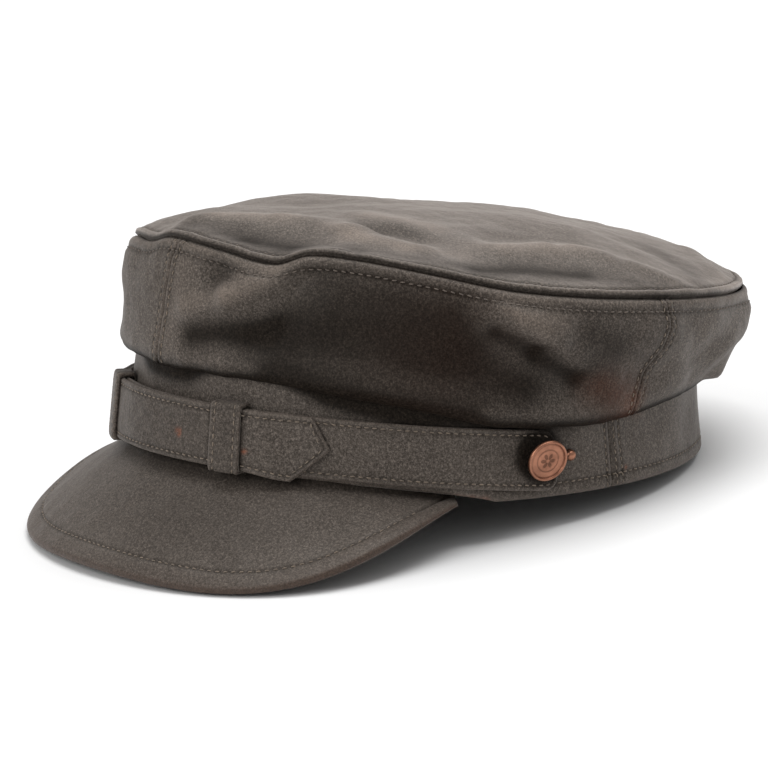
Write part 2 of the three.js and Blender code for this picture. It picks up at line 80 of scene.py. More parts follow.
def look_up(rows, column, turn):
    """A smooth value of one column between the rows of a table whose first column is a turn."""
    table = np.array(rows, float)
    at, value = table[:, 0], table[:, column]
    slope = np.zeros(len(at))
    slope[1:-1] = (value[2:] - value[:-2]) / (at[2:] - at[:-2])
    t = np.clip(turn, at[0], at[-1])
    k = np.clip(np.searchsorted(at, t, side="left") - 1, 0, len(at) - 2)
    span = at[k + 1] - at[k]
    s = (t - at[k]) / span
    rest = 1 - s
    return (value[k] * (1 + 2 * s) * rest * rest + value[k + 1] * s * s * (3 - 2 * s)
            + slope[k] * span * s * rest * rest - slope[k + 1] * span * s * s * rest)


def spread(start, end, coarse, fine, reach):
    """Stations from start to end, close together within reach of both ends."""
    length = abs(end - start)
    out = [0.0]
    while out[-1] < length:
        near = min(out[-1], length - out[-1])
        out.append(out[-1] + mix(fine, coarse, ease((near - reach) / reach)))
    stations = np.array(out) * (length / out[-1])
    return start + np.sign(end - start) * stations


def ripple(points, size, seed):
    """Smooth noise from -1 to 1 over an array of points in millimetres."""
    flat = (np.asarray(points).reshape(-1, 3) / size + seed * 17.3).tolist()
    values = [noise.noise(Vector(p)) for p in flat]
    return np.array(values).reshape(np.asarray(points).shape[:-1]) * 1.6


def surface_normals(points, towards):
    """Normals of a grid, on the side that faces a direction."""
    along = np.gradient(points, axis=0)
    across = np.gradient(points, axis=1)
    normals = np.cross(along, across)
    size = np.linalg.norm(normals, axis=-1, keepdims=True)
    normals = normals / np.maximum(size, 1e-9)
    facing = np.sign(np.sum(normals * towards, axis=-1, keepdims=True).mean())
    return normals * facing


def run_length(points, axis):
    """Distance in millimetres along the rows or the columns of a grid."""
    step = np.linalg.norm(np.diff(points, axis=axis), axis=-1)
    pad = [(0, 0), (0, 0)]
    pad[axis] = (1, 0)
    return np.cumsum(np.pad(step, pad), axis=axis)


def trace(points, normals, distance, value, axis):
    """The line on a grid along which a distance has one value, crossing the given axis."""
    if axis == 0:
        points, normals = points.swapaxes(0, 1), normals.swapaxes(0, 1)
        distance = distance.swapaxes(0, 1)
    line, facing = [], []
    for p, n, d in zip(points, normals, distance):
        order = np.argsort(d)
        d, p, n = d[order], p[order], n[order]
        line.append([np.interp(value, d, p[:, i]) for i in range(3)])
        facing.append([np.interp(value, d, n[:, i]) for i in range(3)])
    return np.array(line), np.array(facing)


def add_piece(name, points, faces, material, slot, nodes=(), wear_and_painted_light=None, rust=None):
    """A closed piece of the cap, with its faces turned out."""
    quads = np.array([face for face in faces if len(face) == 4])
    a, b, c, d = (points[quads[:, i]] for i in range(4))
    volume = np.sum(a * np.cross(b, c)) + np.sum(a * np.cross(c, d))
    if volume < 0:
        faces = [face[::-1] for face in faces]
    name += "_cloth" if slot == "oilcloth" and nodes else "_metal" if nodes else ""
    mesh = bpy.data.meshes.new(name)
    mesh.from_pydata(to_row(points).tolist(), [], faces)
    mesh.validate()
    mesh.materials.append(material)
    mesh.polygons.foreach_set("use_smooth", [True] * len(mesh.polygons))
    for layer_name, values in (("wear_and_painted_light", wear_and_painted_light), ("rust", rust)):
        if values is not None:
            layer = mesh.attributes.new(layer_name, "FLOAT", "POINT")
            layer.data.foreach_set("value", np.asarray(values, np.float32).ravel())
    mesh.update()
    piece = bpy.data.objects.new(name, mesh)
    bpy.context.scene.collection.objects.link(piece)
    if nodes:
        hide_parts(*nodes)
    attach(piece, "root")


def add_wall(name, outer, inner, cloth, wear_and_painted_light, rust=None, inner_wear_and_painted_light=None, ring=False):
    """A closed wall of cloth from the grids of its outer and its inner face."""
    unmarked = np.zeros(inner.shape[:2])
    sections = np.concatenate([outer, inner[:, ::-1]], axis=1)
    wear_and_painted_light = np.concatenate([wear_and_painted_light, unmarked if inner_wear_and_painted_light is None else inner_wear_and_painted_light[:, ::-1]], axis=1)
    rust = None if rust is None else np.concatenate([rust, unmarked], axis=1)
    rows, columns = sections.shape[:2]
    index = np.arange(rows * columns).reshape(rows, columns)
    row = index if ring else index[:-1]
    after = np.roll(index, -1, axis=0) if ring else index[1:]
    faces = np.stack([row, after, np.roll(after, -1, axis=1), np.roll(row, -1, axis=1)], -1)
    faces = faces.reshape(-1, 4).tolist()
    if not ring:
        faces.append(index[0].tolist())
        faces.append(index[-1][::-1].tolist())
    add_piece(name, sections.reshape(-1, 3), faces, cloth, "oilcloth", [name], wear_and_painted_light, rust)


def node_tree(name):
    material = bpy.data.materials.new(name)
    material.use_nodes = True
    tree = material.node_tree
    tree.nodes.clear()
    output = tree.nodes.new("ShaderNodeOutputMaterial")
    shader = tree.nodes.new("ShaderNodeBsdfPrincipled")
    tree.links.new(shader.outputs["BSDF"], output.inputs["Surface"])
    return material, tree, shader


def noise_node(tree, size, detail=2.0, roughness=0.5):
    """Noise whose grain is size millimetres, in the row's frame."""
    place = tree.nodes.new("ShaderNodeTexCoord")
    scale = tree.nodes.new("ShaderNodeMapping")
    scale.inputs["Scale"].default_value = [1000 / size] * 3
    texture = tree.nodes.new("ShaderNodeTexNoise")
    texture.inputs["Scale"].default_value = 1.0
    texture.inputs["Detail"].default_value = detail
    texture.inputs["Roughness"].default_value = roughness
    tree.links.new(place.outputs["Object"], scale.inputs["Vector"])
    tree.links.new(scale.outputs["Vector"], texture.inputs["Vector"])
    return texture.outputs["Fac"]


def ramp_node(tree, source, low, high, low_at=0.3, high_at=0.7):
    """A value that goes from low to high while its source goes from low_at to high_at."""
    ramp = tree.nodes.new("ShaderNodeMapRange")
    ramp.inputs["From Min"].default_value = low_at
    ramp.inputs["From Max"].default_value = high_at
    ramp.inputs["To Min"].default_value = low
    ramp.inputs["To Max"].default_value = high
    tree.links.new(source, ramp.inputs["Value"])
    return ramp.outputs["Result"]


def mix_node(tree, share, low, high, blend="MIX"):
    """A mix of two colours, each of them and the share a value or a socket."""
    node = tree.nodes.new("ShaderNodeMix")
    node.data_type = "RGBA"
    node.blend_type = blend
    for socket, value in ((node.inputs[0], share), (node.inputs[6], low), (node.inputs[7], high)):
        if isinstance(value, bpy.types.NodeSocket):
            tree.links.new(value, socket)
        elif isinstance(value, tuple):
            socket.default_value = (*value, 1.0)
        else:
            socket.default_value = value
    return node.outputs[2]


def bump_node(tree, height, distance, after=None):
    """Bump of a depth in millimetres, on top of an earlier one if there is one."""
    node = tree.nodes.new("ShaderNodeBump")
    node.inputs["Strength"].default_value = 1.0
    node.inputs["Distance"].default_value = distance / 1000
    tree.links.new(height, node.inputs["Height"])
    if after is not None:
        tree.links.new(after, node.inputs["Normal"])
    return node.outputs["Normal"]


# Grain in millimetres of the cloth's clouds, bloom and specks, and of its bumps with their depths
CLOUD, GRAIN, FLECK, SPECK = 38, 0.95, 0.42, 0.6
CLOTH_BUMPS = ((14, 3, 0.55, 0.7), (3.2, 3, 0.6, 0.16), (0.7, 2, 0.6, 0.12))
RUST, SHEEN_TINT = (0.22, 0.06, 0.022), (0.88, 0.79, 0.73, 1.0)
# Shine of the cloth, its lower level where shade is painted on, and the tint of its shine
SHINE, PAINTED_SHADE_SHINE, SHINE_TINT = 0.33, 0.04, (1.0, 0.92, 0.85, 1.0)
CLOTH_ROUGHNESS, ROUGHNESS_SPREAD, SHEEN_ROUGHNESS = 0.55, 0.07, 0.45


def oilcloth(name, dark, pale, bloom, rubbed_and_highlight, sheen=0.15):
    """Waxed cotton: a dark ground clouded by the wax, with a fine pale bloom. One attribute holds both
    wear and painted light: above 0 the cloth is paler where it is creased or chafed and where a
    highlight is painted on, below 0 it is darker, with less shine and sheen, where shade and shadow
    are painted on. The rust attribute is the strength of its red-brown marks."""
    material, tree, shader = node_tree(name)
    cloud = ramp_node(tree, noise_node(tree, CLOUD, 4, 0.6), 0, 1, 0.32, 0.68)
    grain = noise_node(tree, GRAIN, 3, 0.8)
    fleck = noise_node(tree, FLECK, 1, 0.5)
    wear_and_painted_light = tree.nodes.new("ShaderNodeAttribute")
    wear_and_painted_light.attribute_name = "wear_and_painted_light"
    colour = mix_node(tree, cloud, dark, pale)
    colour = mix_node(tree, ramp_node(tree, grain, 0, 0.95, 0.44, 0.7), colour, bloom)
    colour = mix_node(tree, ramp_node(tree, fleck, 0, 1, 0.55, 0.78), colour, bloom)
    colour = mix_node(tree, ramp_node(tree, wear_and_painted_light.outputs["Fac"], 0, 1, 0, 1), colour, rubbed_and_highlight)
    # Painted shade: below 0 the colour goes towards a darker copy of the ground
    painted_shade_dark = tuple(0.3 * v for v in dark)
    thick = mix_node(tree, ramp_node(tree, grain, 0, 1, 0.4, 0.75), painted_shade_dark, dark)
    colour = mix_node(tree, ramp_node(tree, wear_and_painted_light.outputs["Fac"], 0, 1, 0, -1), colour, thick)
    rust = tree.nodes.new("ShaderNodeAttribute")
    rust.attribute_name = "rust"
    colour = mix_node(tree, rust.outputs["Fac"], colour, RUST)
    speck = ramp_node(tree, noise_node(tree, SPECK, 2, 0.75), 0.5, 1.52, 0.32, 0.68)
    colour = mix_node(tree, 1.0, colour, speck, "MULTIPLY")
    tree.links.new(colour, shader.inputs["Base Color"])
    roughest, smoothest = CLOTH_ROUGHNESS + ROUGHNESS_SPREAD, CLOTH_ROUGHNESS - ROUGHNESS_SPREAD
    rough = ramp_node(tree, cloud, roughest, smoothest, 0, 1)
    tree.links.new(rough, shader.inputs["Roughness"])
    shine = ramp_node(tree, wear_and_painted_light.outputs["Fac"], PAINTED_SHADE_SHINE, SHINE, -1.3, 0)
    tree.links.new(shine, shader.inputs["Specular IOR Level"])
    shader.inputs["Specular Tint"].default_value = SHINE_TINT
    tree.links.new(ramp_node(tree, wear_and_painted_light.outputs["Fac"], 0, sheen, -1.1, 0), shader.inputs["Sheen Weight"])
    shader.inputs["Sheen Roughness"].default_value = SHEEN_ROUGHNESS
    shader.inputs["Sheen Tint"].default_value = SHEEN_TINT
    normal = None
    for size, detail, roughness, depth in CLOTH_BUMPS:
        normal = bump_node(tree, noise_node(tree, size, detail, roughness), depth, normal)
    tree.links.new(normal, shader.inputs["Normal"])
    return material


def thread_material(name, colour):
    """Spun thread, uneven in tone along its length."""
    material, tree, shader = node_tree(name)
    deep = tuple(v * 0.55 for v in colour)
    tone = mix_node(tree, ramp_node(tree, noise_node(tree, 3, 2), 0, 1), colour, deep)
    tree.links.new(tone, shader.inputs["Base Color"])
    shader.inputs["Roughness"].default_value = 0.75
    shader.inputs["Sheen Weight"].default_value = 0.2
    return material


# A stitch has so many sides, and along it so much of its width: place from -1 to 1, share
STITCH_SIDES = 5
STITCH_STATIONS = ((-1.0, 0.3), (-0.62, 0.9), (0.0, 1.0), (0.62, 0.9), (1.0, 0.3))


def sew(name, paths, material, pitch=2.7, length=1.7, width=0.5, height=0.38, sink=0.3):
    """Rows of stitches, each a short raised length of thread, along lines on a surface."""
    points, faces = [], []
    for line, facing in paths:
        line, facing = np.asarray(line), np.asarray(facing)
        run = np.concatenate([[0], np.cumsum(np.linalg.norm(np.diff(line, axis=0), axis=1))])
        count = max(1, int(round(run[-1] / pitch)))
        for k in range(count):
            centre = (k + 0.5) / count * run[-1]
            wobble = 0.14 * math.sin(k * 12.9898 + run[-1])
            stations = np.clip(centre + length / 2 * np.array([s for s, _ in STITCH_STATIONS]), 0, run[-1])
            at = np.stack([np.interp(stations, run, line[:, i]) for i in range(3)], -1)
            out = np.stack([np.interp(stations, run, facing[:, i]) for i in range(3)], -1)
            out /= np.linalg.norm(out, axis=1, keepdims=True)
            ahead = at[-1] - at[0]
            size = np.linalg.norm(ahead)
            if size < 0.4 * length:
                continue
            ahead = ahead / size
            beside = np.cross(out, ahead)
            first = len(points)
            for (s, thick), p, n, b in zip(STITCH_STATIONS, at, out, beside):
                middle = p + n * (height * 0.5 - sink * s * s) + b * wobble * s
                for i in range(STITCH_SIDES):
                    angle = 2 * math.pi * i / STITCH_SIDES
                    radial = b * math.cos(angle) * width / 2 + n * math.sin(angle) * height / 2
                    points.append(middle + radial * thick)
            for j in range(len(STITCH_STATIONS) - 1):
                for i in range(STITCH_SIDES):
                    a = first + j * STITCH_SIDES + i
                    b2 = first + j * STITCH_SIDES + (i + 1) % STITCH_SIDES
                    faces.append([a, b2, b2 + STITCH_SIDES, a + STITCH_SIDES])
            faces.append(list(range(first + STITCH_SIDES - 1, first - 1, -1)))
            faces.append(list(range(len(points) - STITCH_SIDES, len(points))))
    add_piece(name, np.array(points), faces, material, "oilcloth")


# Sizes in millimetres and turns in degrees from the centre front towards the wearer's left
GAP = 0.3
BAND_LENGTH, BAND_WIDTH, BAND_HEIGHT, BAND_WALL = 206.0, 178.0, 44.0, 2.0
BAND_DRAW_IN = 4.3
BAND_SEAM_TURN = 101.5
FRONT_RISE, RIM_POWER = 10.5, 0.7
PEAK_TURN = 69.0
BUTTON_TURN = 84.4
BAND_DEGREE = math.radians((BAND_LENGTH + BAND_WIDTH) / 4)
HEM_STITCH = 4.2
BAND_SEAM_STITCHES = (-2.6, 2.0, 4.8)
BUTTON_HEIGHT = 14
# Strength and half width of the painted shade along each row of stitches
STITCH_SHADE, SHADE_WIDTH = 0.55, 0.8

# Depth and half width of the groove that a row of stitches draws in
ROW_GROOVE, SEAM_GROOVE = (0.3, 0.7), (0.28, 0.6)

# Turn, and the share of the band's height above which it lies in the dark under the crown's fold
FOLD_SHADOW = ((0, 8, 18, 29, 42, 58), (0.64, 0.66, 0.86, 0.84, 0.58, 0.42))

DARK, PALE, BLOOM = (0.027, 0.021, 0.0165), (0.046, 0.037, 0.030), (0.138, 0.115, 0.098)
RUBBED_AND_HIGHLIGHT = (0.150, 0.121, 0.100)
band_cloth = oilcloth("band_oilcloth", DARK, PALE, BLOOM, RUBBED_AND_HIGHLIGHT)
brown_thread = thread_material("brown_thread", (0.215, 0.165, 0.12))


def near_turn(turn):
    """The same turn between -180 and 180 degrees."""
    return turn - 360 * np.round(turn / 360)


def rim_height(turn):
    """Height of the band's lower edge, which rises in front where the peak comes out."""
    edge = cos(PEAK_TURN + 6)
    return FRONT_RISE * np.clip((cos(turn) - edge) / (1 - edge), 0, 1) ** RIM_POWER


def band_point(turn, height, out=0.0):
    """Points on the band's outer face, or so many millimetres out from it."""
    turn, height, out = np.broadcast_arrays(turn, height, out)
    inset = BAND_DRAW_IN * height / BAND_HEIGHT - out
    x = (BAND_WIDTH / 2 - inset) * sin(turn)
    y = -(BAND_LENGTH / 2 - inset) * cos(turn)
    return np.stack([x, y, np.array(height, float)], -1)


def outward(turn, like):
    turn = np.broadcast_to(turn, like)
    return np.stack([sin(turn), -cos(turn), np.zeros(like)], -1)


def groove(distance, shape):
    """Depth of a soft groove at a distance from its middle."""
    depth, width = shape
    return depth * bell(distance, width)


def button_shade(turn, height):
    """Painted shadow round each button, where its edge stands off the cloth."""
    across = (np.abs(near_turn(turn)) - BUTTON_TURN) * BAND_DEGREE
    near = np.hypot(across, height - BUTTON_HEIGHT)
    return 0.4 * bell(near, 13) + 0.9 * ease((10.5 - near) / 3)


def rust_marks(turn, height, marks):
    """Strength of the red-brown marks, each a turn, a height, a radius in millimetres and a strength."""
    rust = np.zeros(turn.shape)
    for at, level, radius, strength in marks:
        away = np.hypot(near_turn(turn - at) * BAND_DEGREE, height - level)
        rust += strength * bell(away, radius)
    return np.clip(rust, 0, 1)


# turn, height, radius and strength of each red-brown mark on the band
BAND_MARKS = ((68, 1.6, 1.2, 0.7), (70.5, 0.9, 1.3, 0.8), (73, 0.3, 1.4, 0.7), (105.3, 5.6, 0.6, 0.6),
              (104, 29, 3.5, 0.25), (110, 26, 4, 0.2), (96, 33, 3, 0.2))


def build_band(name, start, end):
    """One part of the band, from seam to seam."""
    hand = 1 if name == "band_back" else -1
    seam_rows = [abs(row) for row in BAND_SEAM_STITCHES if row * hand > 0]
    turns = spread(start * BAND_DEGREE, end * BAND_DEGREE, 1.6, 0.5, 7) / BAND_DEGREE
    levels = spread(0, 1, 0.035, 0.014, 0.14)
    turn, level = np.meshgrid(turns, levels, indexing="ij")
    base = band_point(turn, mix(rim_height(turn), BAND_HEIGHT, level))
    normals = surface_normals(base, outward(turn, turn.shape))
    up = run_length(base, 1)
    along = run_length(base, 0)
    left = along[-1:] - along
    push = 0.55 * ripple(base, 26, 1) + 0.22 * ripple(base * (1, 1, 0.6), 9, 2)
    rows_shade = bell(up - HEM_STITCH, SHADE_WIDTH)
    push -= groove(up - HEM_STITCH, ROW_GROOVE) - 0.12 * bell(up - HEM_STITCH / 2, 1.4)
    push -= 0.9 * (bell(along, 0.8) + bell(left, 0.8))
    for distance in (along, left):
        for row in seam_rows:
            push -= groove(distance - row, SEAM_GROOVE)
            rows_shade += bell(distance - row, SHADE_WIDTH)
    push += 0.2 * ripple(base, 3.4, 3) * bell(up - HEM_STITCH, 3)
    push -= 0.7 * bell(up, 0.5)
    outer = base + normals * push[..., None]
    inner = (base - normals * BAND_WALL)[:, ::4]
    inner[:, 0] = base[:, 0] - normals[:, 0] * (BAND_WALL - 0.6) + (0, 0, 0.5)
    wear_and_painted_light = 0.3 * bell(up, 1.2) + 0.1 * np.clip(push, 0, 1)
    # Painted shadow under the crown's fold and round the buttons, and painted shade along the stitch rows
    shadow = np.interp(np.abs(near_turn(turn)), *FOLD_SHADOW)
    wear_and_painted_light -= 1.4 * ease((level - shadow) / 0.2) * ease((115 - np.abs(near_turn(turn))) / 30)
    wear_and_painted_light -= button_shade(turn, base[..., 2]) + STITCH_SHADE * rows_shade
    rust = rust_marks(turn, base[..., 2], BAND_MARKS)
    add_wall(name, outer, inner, band_cloth, wear_and_painted_light, rust)
    facing = surface_normals(outer, outward(turn, turn.shape))
    paths = [trace(outer, facing, up, HEM_STITCH, 1)]
    for distance in (along, left):
        paths += [trace(outer, facing, distance, row, 0) for row in seam_rows]
    sew(name + "_stitches", paths, brown_thread)


build_band("band_front", -BAND_SEAM_TURN, BAND_SEAM_TURN)
build_band("band_back", BAND_SEAM_TURN, 360 - BAND_SEAM_TURN)


# Sides of the crown. Three panels of oilcloth, seamed at the centre front and behind each button
# with stitches on both sides of the seam. They hang over the band in a soft fold and swell out above
# it, with the dents and creases of a cap that has been worn.
CLOTH = 1.3
CROWN_LENGTH, CROWN_WIDTH, CROWN_SET_BACK = 217.2, 187.4, 10.7
SEAM_HEIGHT, SEAM_FALL, SEAM_SADDLE, SEAM_WAVE = 68.2, 27.8, 1.1, 3.3
CROWN_SEAM_TURN = 105.0
BELLY, FOLD_DEPTH, JOIN_RISE = 5.0, 6.0, 1.0
FOLD_TURNS_UNDER = 0.45
LOW_BELLY_RISE, LOW_BELLY_SPREAD, HIGH_BELLY_SPREAD = 0.38, 0.45, 0.95
SHOULDER_DROP, SHOULDER_SPREAD = 0.05, 0.45
STRAP_WIDTH, STRAP_ABOVE_HEM, STRAP_ABOVE_RIM = 20.2, 1.5, 1.1
CROWN_DEGREE = math.radians((CROWN_LENGTH + CROWN_WIDTH) / 4)
SIDE_STITCH_BELOW_SEAM = 4.6
PANEL_STITCHES = 2.4
CROWN_PITCH = 2.8
SEAM_LEAN, SEAM_LEAN_REACH = 4.5, 16
DEEPEST_LOW, DEEPER_HIGH = -1.9, 1.6
RISE_UNIT = 40

# turn, hang, fold, low belly, high belly, rise of the high one
CROWN_SECTIONS = (
    (0, 0.72, 0.7, 0.85, 0.5, 0.78),
    (30, 0.66, 0.75, 0.8, 0.6, 0.78),
    (60, 0.3, 0.9, 0.5, 0.6, 0.72),
    (75, 0.06, 1, 0.5, 0.6, 0.7),
    (90, 0.06, 0.95, 0.55, 0.55, 0.68),
    (105, 0.16, 0.9, 0.7, 0.5, 0.66),
    (120, 0.3, 0.8, 1.2, 0.4, 0.58),
    (150, 0.46, 0.7, 1.5, 0.35, 0.55),
    (180, 0.48, 0.7, 1.4, 0.35, 0.55),
)

# turn, height of the seam as a share of SEAM_WAVE
SEAM_WAVES = (
    (-180, -0.8), (-130, -0.5), (-90, -1.4), (-60, -2.1), (-38, -1.9), (-20, -1), (-8, -0.9),
    (0, 0), (8, 0), (16, -0.25), (28, -0.7), (35, 0.75), (45, 1), (58, 0.5), (74, -0.4),
    (108, -0.5), (130, -0.6), (180, -0.8),
)

# turn and rise at one end, turn and rise at the other, half width and push outwards in millimetres
SIDE_DENTS = (
    (28, 0.9, 19, 0.68, 4, 2.4), (19, 0.68, 9, 0.5, 4.5, 2.0), (36, 0.78, 22, 0.36, 7, -2.4),
    (17, 0.86, 15, 0.78, 4.5, -2.2), (50, 0.3, 62, 0.22, 13, 1.8), (71, 0.84, 81, 0.68, 4, 2.2),
    (86, 0.55, 97, 0.34, 6, 1.6), (69.5, 0.68, 78, 0.56, 3, -2.2), (78, 0.56, 88, 0.38, 3, -1.7),
    (86, 0.78, 95, 0.62, 6, -1.1), (112, 0.75, 124, 0.3, 7, -2.1), (138, 0.08, 166, 0.09, 7, 4.2),
    (-42, 0.45, -26, 0.45, 9, -1.0), (140, 0.75, 126, 0.3, 7, 1.5), (186, 0.7, 178, 0.2, 11, -2.4),
    (222, 0.8, 215, 0.3, 11, 1.8), (-48, 0.75, -36, 0.3, 11, -2.4), (-84, 0.74, -76, 0.42, 10, -1.5),
    (-98, 0.8, -92, 0.4, 9, 1.5), (39, 0.96, 33, 0.82, 3, -1.6), (34, 0.97, 30, 0.88, 2.5, 1.2),
    (100, 0.85, 118, 0.62, 4, 0.9), (-22, 0.8, -30, 0.35, 9, 1.4), (160, 0.7, 150, 0.35, 8, -1.2),
)


def seam_height(turn):
    """Height of the seam between the top and the sides."""
    wave = SEAM_WAVE * look_up(SEAM_WAVES, 1, near_turn(turn))
    return SEAM_HEIGHT + SEAM_FALL / 2 * cos(turn) + SEAM_SADDLE * cos(2 * turn) + wave


def seam_plan(turn, out=0.0):
    return ((CROWN_WIDTH / 2 + out) * sin(turn), CROWN_SET_BACK - (CROWN_LENGTH / 2 + out) * cos(turn))


def strap_low(turn):
    """Height of the straps' lower edge."""
    return mix(STRAP_ABOVE_HEM, FRONT_RISE + STRAP_ABOVE_RIM, cos(turn))


def smooth_curve(knots, shares):
    """A centripetal curve through knots, an array of rows by knots by 3, at each share."""
    before = 2 * knots[:, :1] - knots[:, 1:2]
    after = 2 * knots[:, -1:] - knots[:, -2:-1]
    k = np.concatenate([before, knots, after], axis=1)
    spans = knots.shape[1] - 1
    place = np.clip(shares * spans, 0, spans - 1e-9)
    i = place.astype(int)
    w = (place - i)[None, :, None]
    p0, p1, p2, p3 = k[:, i], k[:, i + 1], k[:, i + 2], k[:, i + 3]
    d0, d1, d2 = (np.sqrt(np.linalg.norm(b - a, axis=-1, keepdims=True))
                  for a, b in ((p0, p1), (p1, p2), (p2, p3)))
    t1 = ((p1 - p0) / d0 - (p2 - p0) / (d0 + d1) + (p2 - p1) / d1) * d1
    t2 = ((p2 - p1) / d1 - (p3 - p1) / (d1 + d2) + (p3 - p2) / d2) * d1
    return p1 + t1 * w + (-3 * p1 + 3 * p2 - 2 * t1 - t2) * w ** 2 + (2 * p1 - 2 * p2 + t1 + t2) * w ** 3


def side_knots(turns):
    """The fold's height, the side's height above it, and the knots of each upright section."""
    section = np.abs(near_turn(turns))
    hang, fold, low, high, rise = (look_up(CROWN_SECTIONS, c, section) for c in range(1, 6))
    fold_height = mix(strap_low(turns) + STRAP_WIDTH, BAND_HEIGHT, hang)
    fold_out = GAP + fold * FOLD_DEPTH
    seam = seam_height(turns)
    height = seam - fold_height

    def between(share, out, level):
        bottom = band_point(turns, BAND_HEIGHT, out)
        x, y = seam_plan(turns, out)
        return np.stack([mix(bottom[:, 0], x, share), mix(bottom[:, 1], y, share), level], -1)

    return fold_height, height, np.stack([
        band_point(turns, BAND_HEIGHT + JOIN_RISE, GAP),
        band_point(turns, mix(fold_height, BAND_HEIGHT, FOLD_TURNS_UNDER), GAP),
        band_point(turns, fold_height, mix(GAP, fold_out, FOLD_TURNS_UNDER)),
        band_point(turns, fold_height + fold_out * FOLD_TURNS_UNDER, fold_out),
        between(LOW_BELLY_SPREAD, low * BELLY, fold_height + LOW_BELLY_RISE * height),
        between(HIGH_BELLY_SPREAD, high * BELLY, fold_height + rise * height),
        between(1, high * BELLY * SHOULDER_SPREAD, seam - height * SHOULDER_DROP),
        between(1, np.zeros(len(turns)), seam),
    ], axis=1)


def line_push(x, y, ends, width, amount):
    """Soft ridge or hollow of one amount along a line between two points in a plane."""
    (x0, y0), (x1, y1) = ends
    length = (x1 - x0) ** 2 + (y1 - y0) ** 2
    share = np.clip(((x - x0) * (x1 - x0) + (y - y0) * (y1 - y0)) / length, 0, 1)
    return amount * bell(np.hypot(x - mix(x0, x1, share), y - mix(y0, y1, share)), width)


# turn and rise at one end and at the other, half width in millimetres, and painted light: above 0 a painted
# highlight, below 0 painted shade
SIDE_SHADES = (
    (35, 0.5, 62, 0.52, 12, -0.9), (26, 0.2, 78, 0.26, 9, -0.5), (39, 0.82, 61, 0.8, 8, -0.5),
    (17, 0.84, 15, 0.78, 4.5, -0.5), (11, 0.3, 29, 0.45, 5.5, -1.05), (72, 0.5, 103, 0.5, 22, -0.26),
    (69.5, 0.68, 78, 0.56, 2.4, -0.6), (78, 0.56, 88, 0.38, 2.4, -0.6), (68, 0.5, 80, 0.34, 7, -0.35),
    (86, 0.76, 94, 0.6, 6, -0.45), (90, 0.4, 98, 0.22, 7, -0.65), (30, 0.1, 70, 0.08, 4, -0.5),
    (29, 0.92, 19, 0.68, 3, 0.4), (19, 0.68, 9, 0.5, 4, 0.35), (73, 0.85, 84, 0.82, 4, 0.35),
    (70, 0.88, 78, 0.7, 2.5, 0.3), (3, 0.3, 6, 0.8, 9, 0.2), (118, 0.7, 108, 0.3, 6, 0.15),
    (-34, 0.85, -44, 0.6, 10, 0.25),
)

# turn, rise as a share times RISE_UNIT, radius and strength of each red-brown mark
CROWN_MARKS = ((93, 13, 6, 0.1), (99, 9, 7, 0.13), (104, 5, 5, 0.18), (62, 20, 24, 0.02))

crown_cloth = oilcloth("crown_oilcloth", DARK, PALE, BLOOM, RUBBED_AND_HIGHLIGHT, sheen=0.1)
dark_thread = thread_material("dark_thread", (0.125, 0.096, 0.074))


def side_lines(rows, turn, rise, height):
    """The sum of a table of soft lines over a side of the crown."""
    total = np.zeros(turn.shape)
    for t0, r0, t1, r1, width, amount in rows:
        x = near_turn(t0 - turn) * CROWN_DEGREE
        ends = ((x, r0 * height), (x + (t1 - t0) * CROWN_DEGREE, r1 * height))
        total += line_push(0.0, rise * height, ends, width, amount)
    return total


